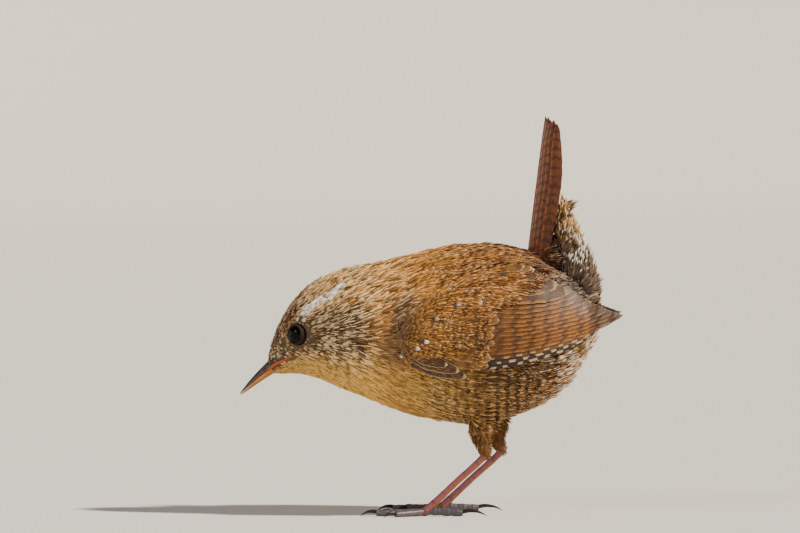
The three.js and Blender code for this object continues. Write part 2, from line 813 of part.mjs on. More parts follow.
// A toe with its claw: pads that touch the ground, then the claw's arch down to its point.
function toeForm(side, toe, out = 0) {
  const f = legFrame(side);
  const heading = Math.PI - side * radians(toe.turn);
  const ahead = new THREE.Vector3(Math.cos(heading), Math.sin(heading), 0);
  const at = (distance, height) => f.foot.clone().addScaledVector(ahead, distance).setZ(height);
  const r = toe.radius;
  const reach = toe.length + toe.claw;
  const path = curveThrough([
    at(0.2, 0.9),
    at(toe.length * 0.3, r + 0.16),
    at(toe.length * 0.65, r + 0.06),
    at(toe.length * 0.97, r * 0.95),
    at(toe.length + toe.claw * 0.3, r * 1.25),
    at(toe.length + toe.claw * 0.7, r * 0.9),
    at(reach, 0.12),
  ]);
  const clawFrom = toe.length / reach;
  const radiusAt = (u) => {
    if (u > clawFrom) return mix(clawFirst, clawLast, (u - clawFrom) / (1 - clawFrom)) + out;
    const pads = Math.abs(Math.sin((3 * Math.PI * u) / clawFrom));
    return r * (0.86 + 0.2 * pads) * mix(1, 0.8, smooth(0.7, 1, u / clawFrom)) + out;
  };
  const byLength = { getPoint: (u) => path.getPointAt(u), getTangent: (u) => path.getTangentAt(u) };
  return tube(byLength, radiusAt, toeSteps, toeSides, out);
}

// Toes stand flat on the ground and keep clear of the shank and of the toes before them.
function toeSolid(side, toe) {
  const before = { inner: ["middle"], outer: ["middle", "inner"] }[toe.name] ?? [];
  const clear = toes.filter((t) => before.includes(t.name)).map((t) => toeForm(side, t, seam));
  const whole = toeForm(side, toe).subtract(join([shankSolid(side, seam), ...clear]));
  return largest(whole.trimByPlane([0, 0, 1], 0));
}

// Head, neck and torso, parted

const eyesClear = join([eyeball(left, seam), eyeball(right, seam)]);
const lids = join([lidRing(left), lidRing(right)]);
const head = largest(
  inFrontOf(join([body, lids]), headSeam)
    .subtract(join([eyesClear, billClear]))
    .simplify(finest / 2),
);
const neck = behindOf(inFrontOf(body, neckSeam), headSeam);
const torso = behindOf(body, neckSeam);

// The bird

const finishes = {
  plumage: { color: 0x9a6a34, roughness: 0.8 },
  wing: { color: 0x8f5a2a, roughness: 0.75 },
  tail: { color: 0x6e3a1a, roughness: 0.75 },
  pale: { color: 0xb9a88c, roughness: 0.85 },
  billDark: { color: 0x3d3038, roughness: 0.35 },
  billOrange: { color: 0xd07a22, roughness: 0.4 },
  eye: { color: 0x0c0a09, roughness: 0.05 },
  leg: { color: 0x8c5a54, roughness: 0.55 },
  toe: { color: 0x4c4346, roughness: 0.6 },
};

const bird = new THREE.Group();

// Adds a solid to the bird as a mesh of its own.
function addPiece(name, piece, finish) {
  const made = piece.getMesh();
  const corners = new Float32Array(made.numVert * 3);
  for (let i = 0; i < made.numVert; i++)
    corners.set(made.vertProperties.subarray(i * made.numProp, i * made.numProp + 3), i * 3);
  const geometry = new THREE.BufferGeometry();
  geometry.setAttribute("position", new THREE.BufferAttribute(corners, 3));
  geometry.setIndex(new THREE.BufferAttribute(made.triVerts, 1));
  geometry.computeVertexNormals();
  const material = new THREE.MeshStandardMaterial({ metalness: 0, ...finishes[finish] });
  const mesh = new THREE.Mesh(geometry, material);
  mesh.name = name;
  bird.add(mesh);
}

addPiece("head", head, "plumage");
addPiece("neck", neck, "plumage");
addPiece("torso", torso, "plumage");
addPiece("eye_left", eyeball(left), "eye");
addPiece("eye_right", eyeball(right), "eye");
addPiece("bill_upper", largest(billUpper), "billDark");
addPiece("bill_lower", largest(billLower), "billOrange");
addPiece("wing_left", wingLeft, "wing");
addPiece("wing_right", wingRight, "wing");
addPiece("tail", tail, "tail");
addPiece("undertail", undertail, "pale");
for (const [side, word] of [
  [left, "left"],
  [right, "right"],
]) {
  const shank = largest(shankSolid(side).trimByPlane([0, 0, 1], 0));
  addPiece(`thigh_${word}`, thighSolid(side), "plumage");
  addPiece(`shank_${word}`, shank, "leg");
  for (const toe of toes) addPiece(`toe_${toe.name}_${word}`, toeSolid(side, toe), "toe");
}

// The origin is under the middle of the whole bird, at the level of its feet.
const extent = new THREE.Box3().setFromObject(bird);
const middle = extent.getCenter(new THREE.Vector3());
bird.position.set(-middle.x, -middle.y, -extent.min.z);

export default bird;
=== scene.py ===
# %% [markdown]
# A wren leans forward with its bill lowered and its tail cocked. The frame below holds the solid
# model that everything here is fitted to. Its box is kept.

# %% The frame
import math

import bpy
import numpy as np
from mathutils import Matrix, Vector


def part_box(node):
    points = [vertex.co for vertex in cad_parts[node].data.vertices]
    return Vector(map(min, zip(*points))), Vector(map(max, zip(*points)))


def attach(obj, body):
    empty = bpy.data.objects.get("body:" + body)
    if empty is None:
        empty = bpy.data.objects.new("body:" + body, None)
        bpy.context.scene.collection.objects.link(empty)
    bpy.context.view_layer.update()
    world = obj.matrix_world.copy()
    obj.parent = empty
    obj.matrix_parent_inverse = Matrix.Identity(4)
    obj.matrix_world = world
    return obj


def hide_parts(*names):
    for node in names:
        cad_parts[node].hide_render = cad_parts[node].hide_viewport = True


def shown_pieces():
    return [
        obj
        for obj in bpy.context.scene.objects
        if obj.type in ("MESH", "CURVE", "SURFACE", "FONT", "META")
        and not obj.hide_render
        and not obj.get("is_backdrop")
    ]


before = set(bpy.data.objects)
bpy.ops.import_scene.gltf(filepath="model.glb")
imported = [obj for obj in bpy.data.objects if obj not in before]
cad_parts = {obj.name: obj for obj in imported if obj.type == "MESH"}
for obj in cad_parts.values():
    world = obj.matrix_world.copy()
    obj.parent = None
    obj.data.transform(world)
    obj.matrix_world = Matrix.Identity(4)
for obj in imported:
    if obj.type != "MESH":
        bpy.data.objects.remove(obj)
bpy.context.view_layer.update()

print("nodes in the frame:", len(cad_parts))

# %% [markdown]
# The bird is measured in millimetres, with its bill towards -X and its left side towards -Y.
# Places on it are often easiest to name as a point of the side view, in pixels of an 800 by 533
# picture whose ground line is at row 514. One pixel is 0.205 mm of the bird.

# %% Measures
MM = 0.001
PIXEL = 0.205
GROUND_ROW = 514
MIDDLE_COLUMN = 440


def seen(column, row):
    """The x and z in millimetres of a point of the side view."""
    return (column - MIDDLE_COLUMN) * PIXEL, (GROUND_ROW - row) * PIXEL


def smooth(low, high, x):
    t = np.clip((np.asarray(x, float) - low) / (high - low), 0, 1)
    return t * t * (3 - 2 * t)


def mix(a, b, t):
    return a + (b - a) * t


def unit(v):
    return v / np.maximum(np.linalg.norm(v, axis=-1, keepdims=True), 1e-9)


def spline(points, share):
    """Points of the smooth curve through a list of points, at shares of its length in points."""
    p = np.asarray(points, float)
    s = np.clip(np.asarray(share, float), 0, 1) * (len(p) - 1)
    i = np.minimum(s.astype(int), len(p) - 2)
    w = (s - i)[..., None]
    longer = np.vstack([2 * p[0] - p[1], p, 2 * p[-1] - p[-2]])
    p0, p1, p2, p3 = longer[i], longer[i + 1], longer[i + 2], longer[i + 3]

    def knot(a, b):
        return np.maximum(np.sum((a - b) ** 2, -1, keepdims=True) ** 0.25, 1e-4)

    d0, d1, d2 = knot(p0, p1), knot(p1, p2), knot(p2, p3)
    m1 = ((p1 - p0) / d0 - (p2 - p0) / (d0 + d1) + (p2 - p1) / d1) * d1
    m2 = ((p2 - p1) / d1 - (p3 - p1) / (d1 + d2) + (p3 - p2) / d2) * d1
    squared, cubed = 3 * (p2 - p1) - 2 * m1 - m2, 2 * (p1 - p2) + m1 + m2
    return p1 + m1 * w + squared * w**2 + cubed * w**3


# %% [markdown]
# Colours are given as the hex codes of paint, and Blender wants them linear.


# %% Colours
def ink(code):
    """A hex colour as linear red, green and blue."""
    parts = [int(code[i : i + 2], 16) / 255 for i in (0, 2, 4)]
    return np.array([c / 12.92 if c <= 0.04045 else ((c + 0.055) / 1.055) ** 2.4 for c in parts])


INKS = {
    "crown": "86552c", "mantle": "bb8034", "nape": "c3924c", "back": "a56a28",
    "rump": "6b3716", "cheek": "7a5c3c", "cream": "e6cfa6", "white": "f3efe6",
    "throat": "cb9f50", "breast": "b48b46", "belly": "a87a30", "flank": "9a6a30",
    "vent": "a98a5f", "fluff": "624f40", "dark": "39230f", "thigh": "6e4618",
    "wing": "a26018", "quill": "422610", "primary": "33211a", "buff": "cc9240",
    "tip": "b4a292", "tail": "a0480c", "tail_dark": "2c0f05", "undertail": "c29c66",
}
INK = {name: ink(code) for name, code in INKS.items()}

# %% [markdown]
# Most pieces are lofts: rings of points joined to a tube, closed at both ends. One function makes
# the tube, and another puts points, faces and named attributes into a Blender mesh. Materials
# read these attributes later, such as how far along its feather a point lies.


# %% Meshes
def circle(count):
    """Evenly spaced angles, once round."""
    return np.arange(count) * 2 * math.pi / count


def sphere(rows, sides):
    """Rings of directions from straight up to straight down."""
    lat, lon = np.meshgrid(np.linspace(0, math.pi, rows), circle(sides), indexing="ij")
    return np.stack([np.sin(lat) * np.cos(lon), np.sin(lat) * np.sin(lon), np.cos(lat)], -1)


def loft(rings):
    """Vertices and faces of a closed tube through rings of equally many points."""
    count, sides = rings.shape[:2]
    faces = []
    for i in range(count - 1):
        for j in range(sides):
            k = (j + 1) % sides
            faces.append((i * sides + j, i * sides + k, (i + 1) * sides + k, (i + 1) * sides + j))
    faces.append(tuple(range(sides))[::-1])
    faces.append(tuple((count - 1) * sides + j for j in range(sides)))
    return rings.reshape(-1, 3), faces


KINDS = {0: "FLOAT", 2: "FLOAT2", 3: "FLOAT_VECTOR", 4: "FLOAT_COLOR"}


def set_attribute(mesh, name, values):
    values = np.asarray(values, np.float32)
    kind = KINDS[values.shape[1] if values.ndim > 1 else 0]
    key = {"FLOAT": "value", "FLOAT_COLOR": "color"}.get(kind, "vector")
    made = mesh.attributes.new(name, kind, "POINT")
    made.data.foreach_set(key, np.ascontiguousarray(values).ravel())


def piece(name, points, faces, attributes=None, material=None, place=True):
    """A mesh object from points in the bird's millimetres, or as they are if place is False."""
    mesh = bpy.data.meshes.new(name)
    points = np.asarray(points, float)
    if place:
        points = (points + np.array([shift, 0, 0])) * MM
    mesh.from_pydata(points.tolist(), [], [tuple(f) for f in faces])
    for key, values in (attributes or {}).items():
        set_attribute(mesh, key, values)
    mesh.shade_smooth()
    if material:
        mesh.materials.append(material)
    obj = bpy.data.objects.new(name, mesh)
    bpy.context.scene.collection.objects.link(obj)
    return obj


def face_out(obj):
    """Turns a closed mesh's faces outwards if its volume comes out negative."""
    mesh = obj.data
    mesh.calc_loop_triangles()
    co = np.zeros(len(mesh.vertices) * 3)
    mesh.vertices.foreach_get("co", co)
    tri = np.zeros(len(mesh.loop_triangles) * 3, int)
    mesh.loop_triangles.foreach_get("vertices", tri)
    a, b, c = co.reshape(-1, 3)[tri.reshape(-1, 3)].transpose(1, 0, 2)
    if np.sum(a * np.cross(b, c)) < 0:
        mesh.flip_normals()
    return obj


def joined(parts):
    """Several (points, faces, attributes) as one."""
    points, faces, start = [], [], 0
    attributes = {key: [] for key in parts[0][2]}
    for p, f, a in parts:
        points.append(p)
        faces += [tuple(i + start for i in face) for face in f]
        start += len(p)
        for key in attributes:
            attributes[key].append(a[key])
    return np.vstack(points), faces, {k: np.concatenate(v) for k, v in attributes.items()}


# %% [markdown]
# The head, neck and body are one form. It is described by stations from the bill to the vent,
# each a point of the back's line, a point of the belly's line and half the width there. A dense
# table of the curves through them makes any point of the surface quick to look up.

# %% The body's form
STATIONS = np.array([
    # top x, top z, bottom x, bottom z, half width, wider above or below
    [-35.7, 32.2, -34.2, 28.3, 2.2, 0.0],
    [-34.9, 35.3, -31.8, 28.4, 3.5, -0.06],
    [-32.8, 40.2, -28.7, 28.4, 5.6, -0.12],
    [-29.5, 45.1, -25.0, 27.4, 7.3, -0.1],
    [-25.0, 48.8, -20.9, 25.6, 8.7, -0.04],
    [-19.5, 51.0, -16.0, 23.8, 10.2, 0.0],
    [-13.3, 52.1, -10.3, 21.5, 12.0, 0.04],
    [-7.2, 53.4, -4.5, 19.7, 13.8, 0.06],
    [0.0, 55.0, 1.4, 18.7, 15.2, 0.06],
    [7.2, 55.8, 7.4, 18.0, 16.0, 0.05],
    [13.3, 55.4, 13.5, 19.4, 15.9, 0.04],
    [18.9, 54.1, 19.7, 22.3, 14.8, 0.02],
    [23.6, 51.5, 25.0, 26.2, 12.4, 0.0],
    [28.1, 47.8, 29.1, 32.0, 8.6, 0.0],
    [31.0, 44.0, 31.6, 37.1, 4.4, 0.0],
])
HEAD_TURN = math.radians(10)
TURN_PIVOT, TURN_FULL, TURN_NONE = -14, -25, -8

SECTIONS = 1401
shares = np.linspace(0, 1, SECTIONS)
top_line = spline(STATIONS[:, 0:2], shares)
bottom_line = spline(STATIONS[:, 2:4], shares)
steps_along = np.arange(len(STATIONS))[:, None]
widths = spline(np.hstack([steps_along, STATIONS[:, 4:6]]), shares)
spans = top_line - bottom_line
TABLE = {
    "x": (top_line + bottom_line)[:, 0] / 2,
    "z": (top_line + bottom_line)[:, 1] / 2,
    "high": np.linalg.norm(spans, axis=1) / 2,
    "ux": unit(spans)[:, 0],
    "uz": unit(spans)[:, 1],
    "half": widths[:, 1],
    "low": widths[:, 2],
}


def section(t):
    return {key: np.interp(t, shares, column) for key, column in TABLE.items()}


def body_point(t, angle, out):
    """A point of the unturned body; angle 0 is the back's line, a quarter turn the left side."""
    s = section(t)
    rise = np.cos(angle)
    wide = (s["half"] + out) * np.sin(angle) * (1 - s["low"] * rise)
    high = (s["high"] + out) * rise
    return np.stack([s["x"] + s["ux"] * high, -wide, s["z"] + s["uz"] * high], -1)


def body_place(x, z):
    """The share along the body and the height, from -1 to 1, of a point of the side view."""
    low, high = np.zeros_like(x), np.ones_like(x)
    for _ in range(24):
        t = (low + high) / 2
        s = section(t)
        past = (x - s["x"]) * s["uz"] - (z - s["z"]) * s["ux"] > 0
        low, high = np.where(past, t, low), np.where(past, high, t)
    s = section(low)
    return low, ((x - s["x"]) * s["ux"] + (z - s["z"]) * s["uz"]) / s["high"]


def body_side(x, z):
    """Half the body's width at a point of the side view."""
    x, z = np.broadcast_arrays(np.asarray(x, float), np.asarray(z, float))
    t, rise = body_place(x, z)
    s = section(t)
    rise = np.clip(rise, -1, 1)
    return s["half"] * np.sqrt(1 - rise * rise) * (1 - s["low"] * rise)


def turned(p):
    """Points turned with the head about an upright line through the neck."""
    p = np.asarray(p, float)
    angle = HEAD_TURN * (1 - smooth(TURN_FULL, TURN_NONE, p[..., 0]))
    ahead = p[..., 0] - TURN_PIVOT
    c, s = np.cos(angle), np.sin(angle)
    x = TURN_PIVOT + ahead * c + p[..., 1] * s
    return np.stack([x, p[..., 1] * c - ahead * s, p[..., 2]], -1)


def unturned(p):
    """The same points before the head's turn."""
    home = np.array(p, float)
    for _ in range(6):
        angle = HEAD_TURN * (1 - smooth(TURN_FULL, TURN_NONE, home[..., 0]))
        c, s = np.cos(angle), np.sin(angle)
        ahead = p[..., 0] - TURN_PIVOT
        home[..., 0] = TURN_PIVOT + ahead * c - p[..., 1] * s
        home[..., 1] = p[..., 1] * c + ahead * s
    return home


print("sections in the table:", SECTIONS)

# %% [markdown]
# The eye tells where the bird stands in the frame: its centre is worked out from the side of the
# face here, and the box of the frame's own eye gives the same point there. The difference is the
# shift that every piece gets.

# %% The eyes' place
EYE_AT = (-28.6, 36.9)
EYE_STANDS = 0.95
LEFT, RIGHT = -1, 1
SIDES = {"left": LEFT, "right": RIGHT}

eye_low, eye_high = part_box("eye_left")
EYE_RADIUS = (eye_high.z - eye_low.z) / 2 / MM


def eye_frame(side):
    """The lids' middle, the way the eye looks and the eyeball's centre, in millimetres."""

    def at(dx, dz):
        x, z = EYE_AT[0] + dx, EYE_AT[1] + dz
        return np.array([x, -float(body_side(x, z)), z])

    step = 0.2
    out = unit(np.cross(at(step, 0) - at(-step, 0), at(0, step) - at(0, -step)))
    out = out if out[1] < 0 else -out
    flip = np.array([1, -side, 1])
    surface = turned(at(0, 0) * flip)
    axis = unit(turned((at(0, 0) + out) * flip) - surface)
    return surface, axis, surface + axis * (EYE_STANDS - EYE_RADIUS)


shift = (eye_low.x + eye_high.x) / 2 / MM - eye_frame(LEFT)[2][0]
print("the bird stands", round(shift, 3), "mm ahead of its own origin")

# %% [markdown]
# A material is a small program of nodes. Writing it as Python expressions keeps it readable: one
# class wraps a socket, and its operators add the Math nodes. Colours go through Mix nodes,
# because a Math node would turn them grey.


# %% Material arithmetic
class Wire:
    """One value in a material. Sums and products with it add Math nodes."""

    def __init__(self, finish, socket):
        self.finish, self.socket = finish, socket

    def __add__(self, other):
        return self.finish.maths("ADD", self, other)

    def __sub__(self, other):
        return self.finish.maths("SUBTRACT", self, other)

    def __rsub__(self, other):
        return self.finish.maths("SUBTRACT", other, self)

    def __mul__(self, other):
        return self.finish.maths("MULTIPLY", self, other)

    __radd__ = __add__
    __rmul__ = __mul__


class Finish:
    """A material under construction."""

    def __init__(self, name):
        self.material = bpy.data.materials.new(name)
        self.material.use_nodes = True
        self.tree = self.material.node_tree
        self.surface = self.tree.nodes["Principled BSDF"]

    def put(self, socket, value):
        """Links a wire to a socket, or sets the socket to a plain value."""
        if isinstance(value, Wire):
            self.tree.links.new(value.socket, socket)
        else:
            socket.default_value = value

    def node(self, kind, settings, *values, output=0, **named):
        """Adds a node, its settings first, then the values or links of its sockets."""
        made = self.tree.nodes.new(kind)
        for key, value in settings.items():
            setattr(made, key, value)
        for key, value in [*enumerate(values), *named.items()]:
            self.put(made.inputs[key], value)
        return Wire(self, made.outputs[output])

    def maths(self, operation, *values):
        return self.node("ShaderNodeMath", {"operation": operation}, *values)

    def clamp(self, low, high, value):
        """0 below low, 1 above high, and a smooth step between."""
        settings = {"interpolation_type": "SMOOTHSTEP"}
        return self.node("ShaderNodeMapRange", settings, value, low, high, 0.0, 1.0)

    def blend(self, share, a, b, kind="MIX"):
        """Mixes two colours."""
        made = self.tree.nodes.new("ShaderNodeMix")
        made.data_type, made.blend_type = "RGBA", kind
        self.put(made.inputs[0], share)
        for key, value in ((6, a), (7, b)):
            self.put(made.inputs[key], value if isinstance(value, Wire) else (*value, 1))
        return Wire(self, made.outputs[2])

    def dimmed(self, colour, level):
        grey = self.node("ShaderNodeCombineColor", {}, level, level, level)
        return self.blend(1.0, colour, grey, "MULTIPLY")

    def attribute(self, name, output=2):
        return self.node("ShaderNodeAttribute", {"attribute_name": name}, output=output)

    def noise(self, scale, detail=2.0, vector=None):
        vector = vector or self.here()
        return self.node("ShaderNodeTexNoise", {}, vector, Scale=scale, Detail=detail)

    def here(self):
        """The point itself, in the piece's own metres."""
        return self.node("ShaderNodeTexCoord", {}, output=3)

    def give(self, **sockets):
        for name, value in sockets.items():
            self.put(self.surface.inputs[name.replace("_", " ")], value)

    def done(self, colour, roughness, specular=0.5, relief=None, depth=0.00008, strength=0.6):
        """Gives the surface its colour, gloss and fine relief, and hands over the material."""
        self.give(Base_Color=colour, Roughness=roughness, Specular_IOR_Level=specular)
        if relief:
            self.give(Normal=self.node("ShaderNodeBump", {}, strength, depth, Height=relief))
        return self.material


# %% [markdown]
# A body feather is dark and downy at its root and brightest near its tip. The darkening towards
# the root is partly that down and partly painted shade where the feathers overlap. No two are
# quite alike. The colour of the place comes from the skin's own attribute. The bars that run
# across many feathers follow the flow, which is the distance along the body, so they bend with
# the feathers. Pale tips and the face's mottling come from each feather's random shade.


# %% Plumage
BAR_PERIOD = 2.1


def plumage(name):
    f = Finish(name)
    tint, along = f.attribute("tint", 0), f.attribute("along")
    shade, grain = f.attribute("shade"), f.attribute("grain")
    barred, mottled = f.attribute("bars"), f.attribute("mottle")
    wave = (f.attribute("flow") + shade * 0.3 + grain * 0.2) * (2 * math.pi / BAR_PERIOD)
    bars = f.clamp(-0.1, 0.5, f.maths("SINE", wave)) * barred
    fleck = f.clamp(0.48, 0.58, along) * f.clamp(0.86, 0.74, along) * f.clamp(0.22, 0.46, shade)
    speck = shade * 0.4 + grain * 0.6
    pale = f.clamp(0.56, 0.66, speck) * mottled
    deep = f.clamp(0.46, 0.34, speck) * mottled
    white = f.clamp(0.66, 0.9, along) * f.clamp(0.45, 0.6, shade) * f.attribute("white")
    patch = f.attribute("patch") * f.clamp(0.25, 0.4, grain * 0.6 + along * 0.5)
    colour = f.blend(pale * 0.85, tint, INK["cream"])
    for share in (deep * 0.9, fleck * f.attribute("flecks"), bars):
        colour = f.blend(share, colour, INK["dark"])
    for share in (white, patch):
        colour = f.blend(share, colour, INK["white"])
    # Darker towards the root: partly the downy base, partly painted shade where feathers overlap.
    colour = f.dimmed(colour, along * 0.7 + grain * 0.85 + shade * 0.3 + 0.12)
    return f.done(colour, 0.6, 0.35, f.noise(2600.0))


coat_finish = plumage("plumage")
print("plumage nodes:", len(coat_finish.node_tree.nodes))

# %% [markdown]
# The skin is what the small feathers grow on, and it is never bare to the eye. It lies inside the
# outline by the depth of the coat. The body, the thighs, the folded arms and the root of the tail
# are one skin with no seam: closed forms are pushed into one another, and a voxel remesh melts
# them together.

# %% The skin
COAT_DEPTH = 0.85
FACE_DEPTH = 0.3
WING_OUTLINE = np.array([seen(*p) for p in [
    (392, 345), (404, 372), (455, 374), (510, 366), (548, 345), (552, 300), (535, 272),
    (480, 272), (430, 290), (398, 318)]])


def inside(outline, x, z):
    """How far inside a closed outline points lie, negative outside."""
    a = outline
    b = np.roll(outline, -1, axis=0)
    p = np.stack([x, z], -1)[..., None, :]
    run = b - a
    s = np.clip(np.sum((p - a) * run, -1) / np.sum(run * run, -1), 0, 1)
    far = np.linalg.norm(p - a - s[..., None] * run, axis=-1).min(-1)
    crosses = (a[:, 1] > p[..., 1]) != (b[:, 1] > p[..., 1])
    rise = np.where(np.abs(run[:, 1]) < 1e-9, 1e-9, run[:, 1])
    at = a[:, 0] + (p[..., 1] - a[:, 1]) / rise * run[:, 0]
    odd = np.sum(crosses & (p[..., 0] < at), -1) % 2 == 1
    return np.where(odd, far, -far)


def depth_at(t):
    return mix(FACE_DEPTH, COAT_DEPTH, smooth(0.05, 0.42, t))


grid_t, grid_a = np.meshgrid(np.linspace(0, 1, 150), circle(110), indexing="ij")
body_rings = body_point(grid_t, grid_a, -depth_at(grid_t))

LEGS = {"left": (LEFT, 0.0), "right": (RIGHT, 3.4)}
HEEL, HEEL_Y = (9.2, 12.5), 7.2
FOOT_JOINT, FOOT_Y = (-3.0, 0.95), 8.4


def leg_frame(side, back):
    hip = np.array([HEEL[0] + 0.6 * back, side * (HEEL_Y - 1.0), 24])
    heel = np.array([HEEL[0] + back, side * HEEL_Y, HEEL[1]])
    foot = np.array([FOOT_JOINT[0] + back, side * FOOT_Y, FOOT_JOINT[1]])
    return hip, heel, foot


THIGH = np.array([
    # share from hip to heel, half depth, half width
    [0.0, 3.4, 3.0], [0.35, 3.0, 2.6], [0.6, 2.7, 2.3], [0.82, 2.1, 1.9], [1.0, 1.35, 1.3]])


def thigh_rings(side, back):
    hip, heel, _ = leg_frame(side, back)
    turns = circle(24)
    rows = spline(THIGH, np.linspace(0, 1, 14))
    rings = []
    for share, deep, half in rows:
        middle = mix(hip, heel, share)
        middle[0] -= 0.9 * math.sin(math.pi * share)
        off = [(deep - 0.6) * np.cos(turns), (half - 0.6) * np.sin(turns), 0 * turns]
        rings.append(middle + np.stack(off, -1))
    return np.array(rings)


COVERT_RINGS = np.array([
    # height, middle, half depth, half width
    [40.0, 27.4, 5.0, 5.6], [45.0, 27.6, 5.0, 5.8], [50.0, 27.0, 4.4, 5.5],
    [54.5, 25.9, 3.3, 4.7], [59.0, 25.0, 2.2, 3.6], [62.5, 24.5, 1.2, 2.2]])


def covert_point(z, around, out):
    """A point of the tail coverts' surface; around is the angle from the rear."""
    rows = [np.interp(z, COVERT_RINGS[:, 0], COVERT_RINGS[:, k]) for k in (1, 2, 3)]
    x = rows[0] + (rows[1] + out) * np.cos(around)
    return np.stack([x, (rows[2] + out) * np.sin(around), z + 0 * x], -1)


VOXEL = 0.00036
covert_z, covert_a = np.meshgrid(np.linspace(40, 62.5, 26), circle(28), indexing="ij")
tail_lump = np.array([22.3, 0, 51.2]) + sphere(16, 20) * np.array([2.9, 4.2, 5.4])
forms = [loft(turned(body_rings)), loft(covert_point(covert_z, covert_a, -0.7)), loft(tail_lump)]
forms += [loft(thigh_rings(*leg)) for leg in LEGS.values()]
flesh = joined([(p, f, {}) for p, f in forms])
skin = piece("skin", flesh[0], flesh[1])
melt = skin.modifiers.new("melt", "REMESH")
melt.mode, melt.voxel_size = "VOXEL", VOXEL
even = skin.modifiers.new("even", "SMOOTH")
even.factor, even.iterations = 0.5, 4


def applied(obj):
    """Replaces an object's mesh by what its modifiers make of it, and removes them."""
    shown = obj.evaluated_get(bpy.context.evaluated_depsgraph_get())
    made = bpy.data.meshes.new_from_object(shown)
    obj.modifiers.clear()
    obj.data = made
    return obj


applied(skin)
face_out(skin)
print("skin faces:", len(skin.data.polygons))

# %% [markdown]
# Every point of the skin now learns what grows there. These are plain formulas of its place: the
# way the feathers lie, how long they are, their colour and markings. Both sides are painted as
# the left one is seen, so that the bird matches from either side.

# %% What grows where
def near(points, col, row, half, soft=0.6):
    """1 near a line through points of the side view, fading out past half its width."""
    line = spline(points, np.linspace(0, 1, 24))
    far = np.hypot(col[:, None] - line[:, 0], row[:, None] - line[:, 1]).min(1)
    return 1 - smooth(half * (1 - soft), half * (1 + soft), far)


def lie_at(hx, hy, hz, normals, up_tail, leg_part):
    """The way the feathers point, along the surface."""
    heading = np.stack([1 - 0.85 * up_tail - 0.6 * leg_part, 0 * hx, 0.95 * up_tail - leg_part], -1)
    heading[:, 2] += 0.55 * smooth(14, 28, hx) * smooth(44, 26, hz) * (1 - leg_part)
    heading[:, 2] -= 0.3 * smooth(-32, -18, hx) * smooth(10, -6, hx) * smooth(40, 28, hz)
    heading[:, 2] += 0.4 * smooth(-32, -24, hx) * smooth(6, -12, hx) * smooth(34, 42, hz)
    heading[:, 1] += np.sign(hy) * 0.25 * smooth(-28, -34, hx)
    return unit(heading - normals * np.sum(heading * normals, 1, keepdims=True))


def tint_at(hx, col, row, rise, up_tail, leg_part):
    """The plumage's colour before markings, and painted shade on the neck and under the wing."""
    uneven = col + 6 * np.sin(row * 0.31) + 3 * np.sin(col * 0.17)
    lower = smooth(-0.05, -0.55, rise)
    coats = [
        ("back", smooth(410, 480, uneven)),
        ("nape", smooth(400, 350, uneven) * smooth(-0.2, 0.5, rise)),
        ("crown", smooth(-24, -29, hx) * smooth(0.1, 0.6, rise)),
        ("rump", smooth(500, 530, uneven) * smooth(0.2, 0.6, rise)),
        ("cheek", smooth(375, 350, col) * smooth(0.5, 0.25, rise)),
        # Painted shade: the cheek's dark brown laid over the side of the neck below the face.
        ("cheek", 0.95 * near([(397, 314), (388, 350)], col, row, 16)),
        ("throat", smooth(395, 370, uneven) * smooth(-0.15, -0.55, rise)),
        ("breast", smooth(372, 400, uneven) * lower),
        ("belly", smooth(430, 480, uneven) * lower),
        ("flank", smooth(450, 510, uneven) * smooth(0.3, -0.1, rise)),
        ("vent", smooth(555, 585, col) * smooth(345, 300, row) * (1 - up_tail)),
        ("undertail", up_tail * smooth(270, 240, row)),
        ("fluff", near([(548, 262), (575, 285)], col, row, 20) * smooth(17, 22, hx)),
        ("rump", near([(528, 240), (545, 268)], col, row, 9) * smooth(14, 17, hx)),
        # Painted shade of the wing along its lower edge, over flank plumage that is darker there
        # too.
        ("dark", 0.5 * near([(478, 378), (520, 372), (562, 346)], col, row, 9)),
        ("thigh", leg_part),
        ("cream", 0.5 * near([(270, 354), (278, 356), (284, 360)], col, row, 4)),
    ]
    tint = np.tile(INK["mantle"], (len(hx), 1))
    for name, share in coats:
        tint = mix(tint, INK[name], np.clip(share, 0, 1)[:, None])
    return tint


BROW = [[(298, 319), (306, 309), (318, 301)], [(323, 300), (330, 294), (337, 288)]]
MOUTH_LINE = [(268, 368), (280, 361), (296, 355)]
BODY_RUN = 88  # the length along the body's middle
BODY_HEIGHT = 36  # the height of the body's middle
ZONE_NAMES = ["head", "neck", "back", "breast", "belly", "undertail", "thigh", "wing"]
ZONE = {name: number for number, name in enumerate(ZONE_NAMES)}


